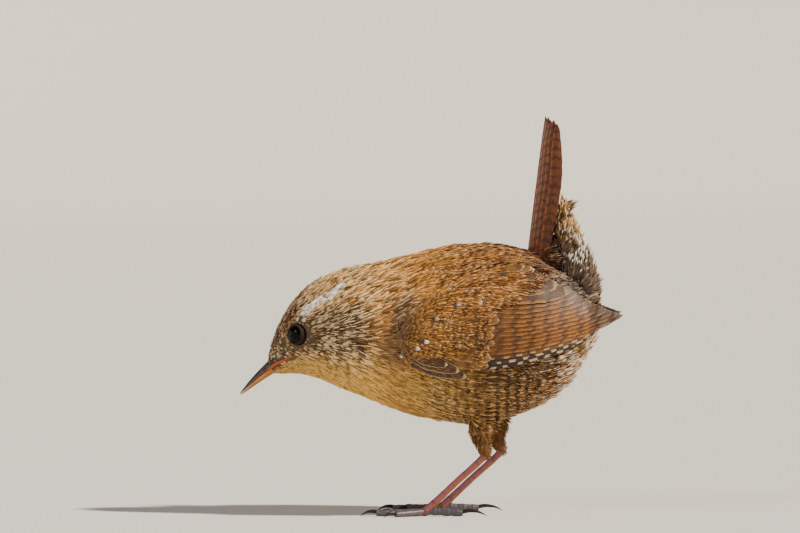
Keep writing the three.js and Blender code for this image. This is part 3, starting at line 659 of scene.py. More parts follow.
def grows(spots, normals, on_wing=False):
    """Everything that the tufts and the finish need to know at points of a surface."""
    home = unturned(spots)
    hx, hy, hz = home.T
    side_view = turned(np.stack([hx, -np.abs(hy), hz], -1))
    col = side_view[:, 0] / PIXEL + MIDDLE_COLUMN
    row = GROUND_ROW - side_view[:, 2] / PIXEL
    share, rise = body_place(hx, hz)
    lower = smooth(-0.05, -0.55, rise)
    up_tail = smooth(20, 28, hx) * smooth(42, 50, hz)
    leg_part = smooth(20.5, 17.0, hz) * smooth(1.0, 4.0, hx)
    eyes = [np.linalg.norm(spots - eye_frame(side)[0], axis=1) for side in SIDES.values()]
    near_eye = np.minimum(*eyes)

    size = mix(0.95, 1.7, smooth(-34, -26, hx))
    size = mix(size, 3.6, smooth(-25, -8, hx))
    size = mix(size, 4.6, smooth(8, 24, hx) * smooth(46, 32, hz))
    size = mix(size, 5.2, up_tail)
    size = mix(size, 1.8, leg_part)
    size = np.minimum(size, mix(0.6, 6.0, smooth(2.0, 7.5, near_eye)))

    bars = 0.4 * smooth(415, 460, col) * smooth(-0.4, 0.1, rise)
    bars = np.maximum(bars, 0.9 * smooth(455, 500, col) * smooth(0.1, -0.25, rise))
    bars = np.maximum(bars, 0.6 * smooth(405, 450, col) * lower)
    bars = np.maximum(bars, 0.4 * up_tail) * (1 - 0.6 * leg_part)
    flecks = mix(0.6, 0.7, smooth(-0.3, 0.3, rise)) * smooth(-16, 0, hx) * (1 - leg_part)
    flecks *= 1 - 0.7 * smooth(8, 16, hx) * lower
    mottle = 0.8 * smooth(385, 355, col) * smooth(-0.7, -0.3, rise)
    mottle = np.maximum(mottle, 0.5 * smooth(430, 390, col) * smooth(0.0, 0.4, rise))
    mottle = np.maximum(mottle, 0.3 * smooth(400, 440, col) * (1 - up_tail)) * (1 - leg_part)
    mottle *= mix(0.4, 1, smooth(2.4, 5.5, near_eye))
    white = 0.34 * smooth(500, 560, col) * smooth(0.0, -0.3, rise) + 0.6 * up_tail
    front, rear = near(BROW[0], col, row, 3.3, 0.4), near(BROW[1], col, row, 2.8, 0.4)
    patch = 0.92 * np.maximum(front, rear)

    tests = [up_tail > 0.4, leg_part > 0.5, hx < -19, hx < -5, rise > 0.15]
    found = [ZONE[name] for name in ("undertail", "thigh", "head", "neck", "back")]
    zone = np.select(tests, found, ZONE["breast"])
    zone = np.where((zone == ZONE["breast"]) & (hx > 13), ZONE["belly"], zone)
    crowding = smooth(1.9, 2.3, near_eye) * (1 - smooth(-35.6, -36.2, hx))
    crowding *= 1 - near(MOUTH_LINE, col, row, 1.5, 0.4)
    lie = lie_at(hx, hy, hz, normals, up_tail, leg_part)
    if on_wing:
        size = mix(2.6, 3.6, smooth(320, 285, row))
        zone = np.full(len(hx), ZONE["wing"])
        crowding = np.ones(len(hx))
        bars = 0.45 * smooth(290, 320, row) * smooth(395, 430, col)
        flecks = np.full(len(hx), 0.7)
        lie = unit(lie + np.array([0, 0, -0.12]))
    else:
        under = inside(WING_OUTLINE, hx, hz)
        crowding = crowding * (1 - 0.97 * smooth(0.8, 2.8, under) * smooth(402, 420, col))
    tint = tint_at(hx, col, row, rise, up_tail, leg_part)
    around = np.arctan2(hy, hz - BODY_HEIGHT) / (2 * math.pi) + 0.5
    return {
        "tint": np.hstack([tint, np.ones((len(hx), 1))]),
        "bars": bars,
        "flecks": flecks,
        "mottle": mottle,
        "white": white,
        "patch": patch,
        "flow": mix(share * BODY_RUN, hz, up_tail),
        "lie": lie,
        "up": normals,
        "size": size,
        "crowding": crowding,
        "zone": zone * 2 + (hy > 0),
        "shade": np.full(len(hx), 0.4),
        "grain": np.full(len(hx), 0.2),
        "along": np.full(len(hx), 0.15),
        "unwrap": np.stack([share, around, 0 * hx], -1),
    }


def learn(obj, on_wing=False):
    """Writes what grows on an object's surface into its mesh."""
    mesh = obj.data
    flat = np.zeros(len(mesh.vertices) * 3)
    mesh.vertices.foreach_get("co", flat)
    spots = flat.reshape(-1, 3) / MM - np.array([shift, 0, 0])
    mesh.vertices.foreach_get("normal", flat)
    for name, values in grows(spots, flat.reshape(-1, 3).copy(), on_wing).items():
        set_attribute(mesh, name, values)
    mesh.materials.clear()
    mesh.materials.append(coat_finish)
    mesh.shade_smooth()


learn(skin)
print("attributes on the skin:", len(skin.data.attributes))

# %% [markdown]
# One tuft is a small feather seen as its locks: narrow closed blades that leave the root
# together, spread a little and end in points. It is one unit long and lies along +X, bent down to
# hug the body. Four of them, each a little different, are enough for the whole coat.


# %% Tufts
def tuft(name, seed, locks, spread, lift, curl):
    rng = np.random.default_rng(seed)
    stops = np.array([0.0, 0.42, 0.78, 1.0])
    half = np.array([0.055, 0.062, 0.04, 0.004])
    parts = []
    for k in range(locks):
        v = 2 * k / (locks - 1) - 1
        length = (1 - 0.3 * v * v) * rng.uniform(0.82, 1.08)
        sway = rng.normal(0, 0.03)
        tall = lift * rng.uniform(0.75, 1.25)
        rings = []
        for s, wide in zip(stops, half):
            middle = np.array([
                s * length,
                v * spread * (0.3 + 0.7 * math.sin(s * math.pi / 2)) + sway * s,
                -0.03 + tall * s - curl * s * s - 0.05 * v * v,
            ])
            blade = [[0, -wide, 0], [0, wide, 0], [0, 0, wide * 0.7]]
            rings.append([middle + corner for corner in blade])
        points, faces = loft(np.array(rings))
        along = np.repeat(stops, 3)
        leaf = np.stack([along, np.full(12, (v + 1) / 2), np.zeros(12)], -1)
        grain = np.full(12, rng.uniform())
        parts.append((points, faces, {"along": along, "grain": grain, "leaf": leaf}))
    points, faces, attributes = joined(parts)
    made = face_out(piece(name, points, faces, attributes, place=False))
    bpy.context.scene.collection.objects.unlink(made)
    return made


BLANKS = 4


def blanks(name, **shape):
    """A few tufts of one kind in a collection that isn't part of the scene."""
    box = bpy.data.collections.new(name)
    for seed in range(BLANKS):
        box.objects.link(tuft(f"{name}_{seed}", seed, **shape))
    return box


sleek = blanks("sleek", locks=9, spread=0.34, lift=0.26, curl=0.17)
loose = blanks("loose", locks=8, spread=0.36, lift=0.3, curl=0.08)

# %% [markdown]
# Geometry Nodes scatter the tufts. Points are spread evenly over one zone of the skin, each tuft
# is turned to lie along the body with its back to the skin's normal, and a little chance in
# angle and length keeps them apart. The instances are made real, because only real faces leave
# Blender. The tree also gives each tuft its own small patch of the OFBake map.


# %% The scattering tree
class Nodes:
    """A Geometry Nodes tree with named inputs, built a node at a time."""

    def __init__(self, name, inputs):
        self.tree = bpy.data.node_groups.new(name, "GeometryNodeTree")
        face = self.tree.interface
        face.new_socket("Geometry", in_out="INPUT", socket_type="NodeSocketGeometry")
        for label, kind in inputs:
            face.new_socket(label, in_out="INPUT", socket_type="NodeSocket" + kind)
        face.new_socket("Geometry", in_out="OUTPUT", socket_type="NodeSocketGeometry")
        self.given = self.tree.nodes.new("NodeGroupInput").outputs
        self.result = self.tree.nodes.new("NodeGroupOutput").inputs[0]

    def node(self, kind, settings, inputs, output=0):
        made = self.tree.nodes.new(kind)
        for key, value in settings.items():
            setattr(made, key, value)
        for key, value in inputs.items():
            if isinstance(value, bpy.types.NodeSocket):
                self.tree.links.new(value, made.inputs[key])
            else:
                made.inputs[key].default_value = value
        return made.outputs[output]

    def maths(self, operation, a, b):
        return self.node("ShaderNodeMath", {"operation": operation}, {0: a, 1: b})

    def read(self, name, kind="FLOAT"):
        return self.node("GeometryNodeInputNamedAttribute", {"data_type": kind}, {"Name": name})

    def chance(self, low, high, seed):
        random = {"data_type": "FLOAT"}
        return self.node("FunctionNodeRandomValue", random, {2: low, 3: high, 8: seed}, 1)

    def keep(self, geometry, name, kind, domain, value):
        settings = {"data_type": kind, "domain": domain}
        inputs = {0: geometry, "Name": name, "Value": value}
        return self.node("GeometryNodeStoreNamedAttribute", settings, inputs)

    def facing(self):
        """The turn that lays a blank along the lie with its back to the normal."""
        settings = {"primary_axis": "Z", "secondary_axis": "X"}
        inputs = {0: self.read("up", "FLOAT_VECTOR"), 1: self.read("lie", "FLOAT_VECTOR")}
        return self.node("FunctionNodeAxesToRotation", settings, inputs)

    def swayed(self, turn, seed, tilt, yaw):
        euler = self.node("ShaderNodeCombineXYZ", {}, {
            0: self.chance(-0.12, 0.12, seed),
            1: self.chance(-tilt, tilt * 0.5, seed + 1),
            2: self.chance(-yaw, yaw, seed + 2),
        })
        by = self.node("FunctionNodeEulerToRotation", {}, {0: euler})
        local = {"rotation_space": "LOCAL"}
        return self.node("FunctionNodeRotateRotation", local, {0: turn, 1: by})


PATCH = 0.003  # the width of a tuft's patch on the OFBake map


def coat_tree():
    inputs = [("Blanks", "Collection"), ("Finish", "Material"), ("Spacing", "Float"),
              ("Length", "Float"), ("Zone", "Int")]
    n = Nodes("coat", inputs)
    skin_in, box, finish, spacing, length, zone_in = [n.given[i] for i in range(6)]
    here = n.node("FunctionNodeCompare", {"data_type": "FLOAT", "operation": "EQUAL"},
                  {0: n.read("zone"), 1: zone_in, 12: 0.4})
    points = n.node("GeometryNodeDistributePointsOnFaces", {"distribute_method": "POISSON"}, {
        "Mesh": skin_in, "Selection": here, "Distance Min": spacing, "Density Max": 4e6,
        "Density Factor": n.read("crowding"), "Seed": 7})
    points = n.keep(points, "shade", "FLOAT", "POINT", n.chance(0.0, 1.0, 21))
    scale = n.maths("MULTIPLY", n.read("size"), length)
    scale = n.maths("MULTIPLY", scale, n.chance(0.8, 1.15, 5))
    which = n.node("FunctionNodeRandomValue", {"data_type": "INT"}, {4: 0, 5: BLANKS - 1, 8: 3}, 2)
    set_on = n.node("GeometryNodeInstanceOnPoints", {}, {
        "Points": points,
        "Instance": n.node("GeometryNodeCollectionInfo", {}, {0: box, 1: True, 2: True}),
        "Pick Instance": True,
        "Instance Index": which,
        "Rotation": n.swayed(n.facing(), 11, 0.1, 0.2),
        "Scale": scale})
    real = n.node("GeometryNodeRealizeInstances", {}, {0: set_on})
    leaf, unwrap = n.read("leaf", "FLOAT_VECTOR"), n.read("unwrap", "FLOAT_VECTOR")
    leaf = n.node("ShaderNodeVectorMath", {"operation": "SCALE"}, {0: leaf, 3: PATCH})
    on_map = n.node("ShaderNodeVectorMath", {"operation": "ADD"}, {0: unwrap, 1: leaf})
    real = n.keep(real, "OFBake", "FLOAT2", "CORNER", on_map)
    ahead = n.maths("MULTIPLY", n.read("along"), n.read("size"))
    flow = n.maths("ADD", n.read("flow"), ahead)
    real = n.keep(real, "flow", "FLOAT", "POINT", flow)
    real = n.node("GeometryNodeSetMaterial", {}, {0: real, 2: finish})
    n.tree.links.new(real, n.result)
    return n.tree


def grown(name, source, tree, **values):
    """What a tree makes of a mesh, as a plain mesh object of its own."""
    obj = bpy.data.objects.new(name, source.data.copy())
    bpy.context.scene.collection.objects.link(obj)
    live = obj.modifiers.new("grow", "NODES")
    live.node_group = tree
    for item in tree.interface.items_tree:
        if item.in_out == "INPUT" and item.name in values:
            live[item.identifier] = values[item.name]
    applied(obj)
    obj.data.name = name
    for attribute in ("leaf", "unwrap", "lie", "up", "size", "crowding", "zone"):
        if attribute in obj.data.attributes:
            obj.data.attributes.remove(obj.data.attributes[attribute])
    return obj


def triangles(obj):
    obj.data.calc_loop_triangles()
    return len(obj.data.loop_triangles)


scatter = coat_tree()
ZONE_COATS = {
    # zone: spacing of the tufts in mm, blanks
    "head": (0.5, sleek),
    "neck": (0.78, sleek),
    "back": (0.95, sleek),
    "breast": (0.92, sleek),
    "belly": (1.0, loose),
    "undertail": (1.0, loose),
    "thigh": (0.7, loose),
    "wing": (0.8, sleek),
}


def coat_of(source, zone_name, half):
    """One zone of one side as a piece of its own."""
    spacing, kind = ZONE_COATS[zone_name]
    number = 2 * ZONE[zone_name] + (half == "right")
    values = dict(Blanks=kind, Finish=coat_finish, Spacing=spacing * MM, Length=MM, Zone=number)
    made = grown(f"coat_{zone_name}_{half}", source, scatter, **values)
    print(made.name, "triangles:", triangles(made))
    return made


coat = [coat_of(skin, name, half) for name in ZONE_NAMES if name != "wing" for half in SIDES]

# %% [markdown]
# The folded wing is a stack of firm vanes. Each vane is swept along its shaft over the surface of
# the wing, a lens in section with a raised shaft, narrow at its root and rounded at its tip. Its
# lower edge lies over the next vane below. They are made in mesh code, because every point must
# sit on the wing's own curved surface, which is a formula.

# %% Vanes
WING_TIP_Y = 7.6
FLANK_WIDEST = 18
WING_EASE = 1.2  # how softly the wing leaves the flank
MAP_CELLS = 12


def wing_surface(x, z):
    flank = body_side(x, z)
    close = np.minimum(flank, FLANK_WIDEST)
    soft = (close + WING_TIP_Y + np.hypot(close - WING_TIP_Y, WING_EASE)) / 2
    y = mix(flank, soft, smooth(14, 20, x))
    return np.stack([x, -y, z], -1)


def wing_place(x, z, lift):
    step = 0.4
    across = wing_surface(x + step, z) - wing_surface(x - step, z)
    above = wing_surface(x, z + step) - wing_surface(x, z - step)
    out = unit(np.cross(across, above))
    out = np.where(out[..., 1:2] > 0, -out, out)
    return wing_surface(x, z) + out * lift[..., None]


def vane(place, root, tip, width, lift, tilt, edge=-1, slope=0.0, bow=0.0, seed=0, rows=20,
         thick=0.14, narrow=0.45, tip_from=0.7, colour="wing", **marks):
    """Points, faces and attributes of one feather. edge names the side that lies higher."""
    rng = np.random.default_rng(1000 + seed)
    root, run = np.array(root, float), np.array(tip, float) - np.array(root, float)
    length = np.linalg.norm(run)
    beside = np.array([-run[1], run[0]]) / length
    across = np.sin(np.linspace(-1, 1, 9) * math.pi / 2)
    ring = np.concatenate([across, across[-2:0:-1]])
    face = np.concatenate([np.ones(9), -np.ones(7)])
    U, V = np.meshgrid(np.linspace(0, 1, rows) ** 0.9, ring, indexing="ij")
    end = np.clip((U - tip_from) / (1 - tip_from), 0, 1)
    full = mix(narrow, 1.0, smooth(0, 0.4, U)) * np.sqrt(np.clip(1 - end**2.2, 0.0004, 1))
    worn = 1 - 0.1 * rng.uniform(size=(rows, 1)) ** 2 * np.abs(V) ** 3
    offset = V * width / 2 * full * worn
    height = lift + slope * (U - 0.5) + tilt * edge * offset + 0.03 * width * (1 - V * V)
    height = height + face * thick / 2 * (1 - 0.75 * V * V) * mix(1.0, 0.5, U)
    height = height + (face > 0) * 0.07 * np.exp(-((V / 0.13) ** 2)) * (1 - 0.6 * U)
    sideways = offset + bow * 4 * U * (1 - U)
    points, faces = loft(place(
        root[0] + run[0] * U + beside[0] * sideways,
        root[1] + run[1] * U + beside[1] * sideways,
        height,
    ))
    n = U.size
    shade = rng.uniform()
    map_row, map_column = divmod(seed, MAP_CELLS)
    leaf = [map_column + 0.1 + 0.8 * U, map_row + 0.3 + 0.2 * face + 0.15 * V]
    fine = [U * length * 0.5, V * width * 2.2 + U * 1.5, U * 0 + shade * 40]
    attributes = {
        "along": U.ravel(),
        "across": V.ravel(),
        "shade": np.full(n, shade),
        "run": (U * length).ravel(),
        "edge": (V * edge).ravel(),
        "fine": np.stack(fine, -1).reshape(-1, 3),
        "tint": np.tile([*INK[colour], 1.0], (n, 1)),
        "leaf": np.stack(leaf, -1).reshape(-1, 2) / MAP_CELLS,
    }
    for key in ("checks", "rim", "pale", "bars", "worn"):
        attributes[key] = np.full(n, float(marks.get(key, 0)))
    return points, faces, attributes


def vane_row(count, first, last, start_seed, **shared):
    """Vanes whose roots and tips step from the first to the last."""
    made = []
    for k in range(count):
        s = k / max(count - 1, 1)
        ends = {key: mix(np.array(first[key]), np.array(last[key]), s) for key in ("root", "tip")}
        ends["tip"] = ends["tip"] + [0.45 * math.sin(2.4 * k), 0]
        made.append(vane(wing_place, **ends, **{**shared, "seed": start_seed + k}))
    return made


print("a point of the wing's surface:", wing_surface(np.array(10.0), np.array(38.0)).round(2))

# %% [markdown]
# The vanes' finish has fine barbs that slant from the shaft, dark bars that line up from feather
# to feather, and on the outermost feathers rows of pale and black blocks. The bars follow the
# distance along the body for the wing, and along each feather for the tail.


# %% Vane finish
BLOCK_PERIOD = 2.8


def vane_finish(name, dark, period):
    f = Finish(name)
    along, across, shade = f.attribute("along"), f.attribute("across"), f.attribute("shade")
    run, edge, checks = f.attribute("run"), f.attribute("edge"), f.attribute("checks")
    side = f.maths("ABSOLUTE", across)
    streak = f.noise(2.2, 3.0, f.attribute("fine", 1))
    ripple = f.noise(700.0, 3.0)
    phase = (run + side * 0.5 + ripple * 2.0 + shade * 1.4) * (2 * math.pi / period)
    wave = f.maths("SINE", phase)
    bars = f.clamp(0.1, 0.95, wave + streak * 0.9 - 0.45) * f.attribute("bars")
    colour = f.blend(f.clamp(0.5, 0.7, streak) * 0.6, f.attribute("tint", 0), INK["buff"])
    colour = f.blend(f.clamp(0.5, 0.3, streak) * 0.55, colour, dark)
    colour = f.blend(f.clamp(0.72, 1.0, along) * f.attribute("worn"), colour, INK["tip"])
    colour = f.blend(bars, colour, dark)
    # Darker where the next feather lies over this one: painted shade of the overlap, and a darker
    # inner part.
    colour = f.blend(f.clamp(0.88, 0.55, edge) * f.attribute("bars"), colour, dark)
    block = f.maths("SINE", (run + shade * 5.0 + ripple * 2.2) * (2 * math.pi / BLOCK_PERIOD))
    block = f.clamp(0.1, 0.55, block + streak * 0.8 - 0.4) * f.clamp(0.45, 0.75, edge)
    colour = f.blend(checks, colour, f.blend(block * 0.75, INK["primary"], INK["cream"]))
    rim = f.clamp(0.84, 0.97, side) + f.clamp(0.88, 0.98, along)
    colour = f.blend(f.clamp(0.3, 0.9, rim) * f.attribute("rim"), colour, INK["cream"])
    colour = f.dimmed(colour, 0.4 + shade * 0.26 + streak * 0.56)
    colour = f.blend(f.clamp(0.55, 0.8, along) * f.attribute("pale"), colour, INK["white"])
    return f.done(colour, 0.5, 0.35, streak, 0.00012, 0.7)


wing_finish = vane_finish("wing vanes", INK["quill"], 3.3)
tail_finish = vane_finish("tail vanes", INK["tail_dark"], 1.9)

# %% [markdown]
# The front of the folded wing is the arm, and its coverts are as soft as the feathers of the
# back. So the arm is a low shield on the flank that carries tufts like the skin's. Only at its
# lower edge do a few feathers stand out as vanes of their own.

# %% The arms
ARM_OUTLINE = np.array([seen(*p) for p in [
    (396, 352), (412, 366), (440, 366), (466, 362), (480, 352), (482, 325), (490, 304),
    (522, 290), (540, 272), (520, 262), (470, 268), (430, 288), (402, 312), (390, 334)]])
ARM_SUNK, ARM_RISE = -0.9, 2.4


def arm_lift(x, z):
    deep = inside(ARM_OUTLINE, x, z)
    free = smooth(1.5, 8.0, x) * mix(0.4, 1.0, smooth(50.5, 46.5, z))
    return ARM_SUNK + ARM_RISE * np.maximum(smooth(0, 3.4, deep), free)


def arm_shield():
    """A closed shell over the flank, thin at its front and standing free at its rear."""
    rim = spline(np.vstack([ARM_OUTLINE, ARM_OUTLINE[:1]]), np.linspace(0, 1, 97)[:-1])
    middle = rim.mean(0)
    rings = []
    rounds = [(share, 0.0) for share in np.linspace(0.02, 1, 26)]
    rounds += [(0.97, 0.5), (0.5, 0.6), (0.02, 0.6)]
    for share, under in rounds:
        p = middle + (rim - middle) * share
        rings.append(wing_place(p[:, 0], p[:, 1], arm_lift(p[:, 0], p[:, 1]) - under))
    return loft(np.array(rings))


arm_points, arm_faces = arm_shield()
for side_name, side in SIDES.items():
    arm = piece(f"arm_{side_name}", arm_points * np.array([1, -side, 1]), arm_faces)
    face_out(arm)
    learn(arm, on_wing=True)
    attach(arm, "root")
    coat.append(coat_of(arm, "wing", side_name))

# %% [markdown]
# The long feathers are numbered from the lowest, which is the outermost of the hand. Its
# neighbours show only a narrow strip each. Above them lie the inner feathers of the arm, with
# pale rims, and over their roots the greater coverts.

# %% The wings
LONG_FEATHERS = 15
LONGEST = 4
LONGEST_LENGTH = 31.2


def long_feathers():
    made = []
    for j in range(LONG_FEATHERS):
        s = j / (LONG_FEATHERS - 1)
        root = np.array([mix(5.4, 10.6, s), mix(30.6, 43.9, s)])
        angle = math.radians(mix(14.6, 7.2, s))
        length = LONGEST_LENGTH - 1.45 * max(LONGEST - j, 0) ** 1.15 - 1.55 * max(j - LONGEST, 0)
        tip = root + length * np.array([math.cos(angle), math.sin(angle)])
        points, faces, attributes = vane(
            wing_place, root, tip, 2.5, 0.75 + 0.04 * j, 0.22, bow=-0.5, seed=j, rows=34,
            checks=max(0.0, min(1.0, 1.3 - j / 2.4)), worn=0.8, bars=0.7, colour="wing",
        )
        attributes["run"] = points[:, 0]
        made.append((points, faces, attributes))
    return made


FEATHER_ROWS = [
    # count, first root and tip, last root and tip, shape and marks
    (3, ((10.8, 44.6), (25.4, 45.4)), ((7.6, 47.2), (20.6, 48.0)),
     dict(width=3.8, lift=1.45, tilt=0.16, tip_from=0.55, bars=0.9, rim=0.3, worn=0.3, seed=20)),
    (10, ((0.5, 32.4), (9.8, 31.4)), ((4.4, 44.0), (12.6, 44.4)),
     dict(width=2.3, lift=1.3, tilt=0.2, slope=0.4, tip_from=0.5, bars=0.6, rim=0.12,
          colour="mantle", seed=30)),
    (3, ((-5.6, 31.6), (5.6, 29.4)), ((-5.8, 33.6), (2.2, 31.6)),
     dict(width=2.6, lift=1.5, tilt=0.16, slope=0.5, tip_from=0.3, rim=0.75,
          colour="quill", seed=45)),
    (3, ((11.0, 49.6), (17.0, 50.4)), ((13.0, 48.4), (19.4, 49.8)),
     dict(width=2.2, lift=0.75, tilt=0.12, slope=0.9, tip_from=0.3, rim=0.5, bars=0.6,
          colour="mantle", seed=50)),
]
BRIGHT_DOTS = [(403, 354), (421, 345), (430, 339)]
DULL_DOTS = [(482, 335), (461, 305), (481, 304), (488, 320), (440, 318)]


def left_wing():
    parts = long_feathers()
    for number, first, last, shape in FEATHER_ROWS:
        ends = [{"root": a, "tip": b} for a, b in (first, last)]
        for points, faces, attributes in vane_row(number, *ends, shape["seed"], **shape):
            attributes["run"] = points[:, 0]
            parts.append((points, faces, attributes))
    for k, dot in enumerate(BRIGHT_DOTS + DULL_DOTS):
        x, z = seen(*dot)
        width, above, pale = (0.95, 0.45, 0.95) if dot in BRIGHT_DOTS else (0.75, 0.3, 0.4)
        lift = float(arm_lift(np.array(x), np.array(z))) + above
        parts.append(vane(
            wing_place, (x - 2.4, z + 0.3), (x + 0.3, z), width, lift, 0.0, slope=0.5, seed=60 + k,
            rows=9, tip_from=0.4, colour="quill", pale=pale,
        ))
    return joined(parts)


def bake_map(obj):
    """Turns the flat places that the vanes carry into the bake map."""
    mesh = obj.data
    leaf = np.zeros(len(mesh.vertices) * 2, np.float32)
    mesh.attributes["leaf"].data.foreach_get("vector", leaf)
    corner = np.zeros(len(mesh.loops), int)
    mesh.loops.foreach_get("vertex_index", corner)
    layer = mesh.uv_layers.new(name="OFBake")
    layer.data.foreach_set("uv", np.ascontiguousarray(leaf.reshape(-1, 2)[corner]).ravel())
    mesh.attributes.remove(mesh.attributes["leaf"])


wing_points, wing_faces, wing_attributes = left_wing()
for side_name, side in SIDES.items():
    mirrored = wing_points * np.array([1, -side, 1])
    wing = piece(f"feathers_wing_{side_name}", mirrored, wing_faces, wing_attributes, wing_finish)
    face_out(wing)
    bake_map(wing)
    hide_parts(f"wing_{side_name}")
    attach(wing, "root")
    print(wing.name, "triangles:", triangles(wing))

# %% [markdown]
# The tail stands almost upright. Twelve vanes lie on an arched roof, the middle pair on top and
# each outer pair tucked under it, so that from the side their edges show as a stack of stripes.

# %% The tail
TAIL_ROOT = (17.7, 49.6)
TAIL_LEAN = math.radians(7.2)
TAIL_LENGTH = 32.2
TAIL_HALF, TAIL_DEPTH = 5.0, 4.7
TAIL_PAIRS = 6
tail_up = np.array([math.sin(TAIL_LEAN), 0, math.cos(TAIL_LEAN)])
tail_rear = np.array([math.cos(TAIL_LEAN), 0, -math.sin(TAIL_LEAN)])


def tail_place(u, across, lift):
    share = u / TAIL_LENGTH
    around = across / TAIL_HALF
    wide = TAIL_HALF * mix(0.72, 1, smooth(0, 0.5, share))
    deep = TAIL_DEPTH * mix(1, 0.62, smooth(0.55, 1, share))
    root = np.array([TAIL_ROOT[0], 0, TAIL_ROOT[1]])
    sideways = ((wide + lift) * np.sin(around))[..., None] * np.array([0, 1, 0])
    back = (deep - (deep + lift) * np.cos(around))[..., None] * tail_rear
    return root + u[..., None] * tail_up + sideways + back


def tail_vanes():
    parts = []
    for side in SIDES.values():
        for i in range(TAIL_PAIRS):
            around = side * math.radians(6 + 15 * i)
            tip = [TAIL_LENGTH - 0.05 * i**1.85 - 0.35 * (i % 2), around * TAIL_HALF]
            root = [1.0, around * TAIL_HALF * 0.85]
            seed = 70 + i + (TAIL_PAIRS if side == RIGHT else 0)
            parts.append(vane(
                tail_place, root, tip, 2.9, 0.05 - 0.02 * i, 0.2, edge=-side, seed=seed,
                rows=40, tip_from=0.82, narrow=0.7, colour="tail", bars=0.72,
            ))
    return joined(parts)


tail = face_out(piece("feathers_tail", *tail_vanes(), tail_finish))
bake_map(tail)
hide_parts("tail")
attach(tail, "root")
print("tail triangles:", triangles(tail))

# %% [markdown]
# The skin stands for the solid head, neck, torso, thighs and tail coverts, and the tufts ride
# with it.

# %% Skin and coat in the frame
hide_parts("head", "neck", "torso", "undertail", "thigh_left", "thigh_right")
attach(skin, "root")
for tufts in coat:
    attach(tufts, "root")

# %% [markdown]
# A wren's eye is a dark, wet ball with hardly any iris to see. A clear coat gives it its sharp
# highlight. The lid is a dull dark rim that hugs the ball, a little pointed in front and behind.


# %% Eyes
def eye_finish():
    f = Finish("eye")
    centre = f.attribute("pupil")
    colour = f.blend(f.clamp(0.66, 0.74, centre), ink("020202"), ink("140b06"))
    f.give(Coat_Weight=0.06, Coat_Roughness=0.02)
    return f.done(colour, 0.06, 0.07)


def skin_finish(name, code, roughness, deep="1c1512"):
    """Bare skin or horn, finely pitted, with darker flecks from the noise of its relief."""
    f = Finish(name)
    tone = f.noise(1500.0, 3.0)
    colour = f.blend(f.clamp(0.35, 0.7, tone) * 0.5, ink(code), ink(deep))
    return f.done(colour, roughness, 0.25, tone, 0.00006)


eye_material = eye_finish()
LID_STEPS, LID_SIDES = 72, 10
LID_REACH = 1.06
lid_material = skin_finish("lid", "2a1d13", 0.9)
for side_name, side in SIDES.items():
    surface, axis, centre = eye_frame(side)
    across = unit(np.cross([0, 0, 1], axis))
    above = np.cross(axis, across)
    globe = sphere(34, 48)
    off_axis = np.hypot(globe[..., 0], globe[..., 1]).ravel()
    points, faces = loft(centre + globe @ np.array([across, above, axis]) * EYE_RADIUS)
    eyeball = piece(f"eyeball_{side_name}", points, faces, {"pupil": off_axis}, eye_material)
    face_out(eyeball)
    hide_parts(f"eye_{side_name}")
    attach(eyeball, "root")

    opening = math.sqrt(EYE_RADIUS**2 - (EYE_RADIUS - EYE_STANDS) ** 2)
    outer = opening * LID_REACH
    rim = []
    for a in circle(LID_STEPS):
        egg = 0.88 - 0.07 * math.cos(2 * a) + 0.05 * math.sin(2 * a)
        egg = opening * (egg + 0.03 * math.cos(3 * a + 1.5))
        spoke = math.cos(a) * across + math.sin(a) * above
        ring = []
        for b in circle(LID_SIDES):
            away = (egg + outer) / 2 + ((outer - egg) / 2 + 0.06) * math.cos(b)
            height = math.sqrt(max(EYE_RADIUS**2 - away**2, 1.0)) - (EYE_RADIUS - EYE_STANDS)
            height = max(height, -0.25) + 0.05 + 0.1 * math.sin(b)
            ring.append(surface + spoke * away + axis * height)
        rim.append(ring)
    faces = []
    for i in range(LID_STEPS):
        here, ahead = i * LID_SIDES, (i + 1) % LID_STEPS * LID_SIDES
        for j in range(LID_SIDES):
            k = (j + 1) % LID_SIDES
            faces.append((here + j, here + k, ahead + k, ahead + j))
    points = np.array(rim).reshape(-1, 3)
    lid = face_out(piece(f"lid_{side_name}", points, faces, None, lid_material))
    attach(lid, "root")

# %% [markdown]
# The bill is slim and curves down a little. Its two halves meet along one line, which runs on
# into the face as the soft orange corner of the mouth.

# %% Bill
MOUTH = [(-31.0, 31.8), (-33.2, 30.8), (-35.6, 29.2), (-38.6, 26.8), (-41.4, 24.3)]
CULMEN, GONYS, BILL_HALF = 2.35, 1.75, 2.0
GAPE_CORNER = (-29.3, 32.5)
NOSTRIL_AT = 0.52


def mouth_at(u):
    p = spline(MOUTH, u)
    return np.stack([p[..., 0], 0 * p[..., 0], p[..., 1]], -1)


def bill_half(up, height):
    u = np.linspace(0, 1, 60)
    a = np.linspace(0, math.pi, 25)
    line = mouth_at(u)
    step = 1e-3
    ahead = unit(mouth_at(np.clip(u + step, 0, 1)) - mouth_at(np.clip(u - step, 0, 1)))
    rise = np.stack([ahead[:, 2], 0 * u, -ahead[:, 0]], -1)
    taper = (1 - u) ** 0.8 * 0.94 + 0.06
    slit = np.exp(-(((u - NOSTRIL_AT) / 0.05) ** 2))[:, None] * (up > 0)
    slit = slit * np.exp(-(((np.sin(a) - 0.5) / 0.14) ** 2))
    tall = up * (0.06 + np.sin(a)[None, :] ** 0.9 * height * taper[:, None])
    wide = np.cos(a)[None, :] * (BILL_HALF * taper[:, None] - 0.35 * slit)
    points = line[:, None] + rise[:, None] * tall[..., None] + wide[..., None] * np.array([0, 1, 0])
    along = np.repeat(u[:, None], len(a), 1).ravel()
    edge = np.repeat((1 - np.sin(a))[None, :], len(u), 0).ravel()
    verts, faces = loft(turned(points))
    return verts, faces, {"along": along, "edge": edge, "slit": slit.ravel()}


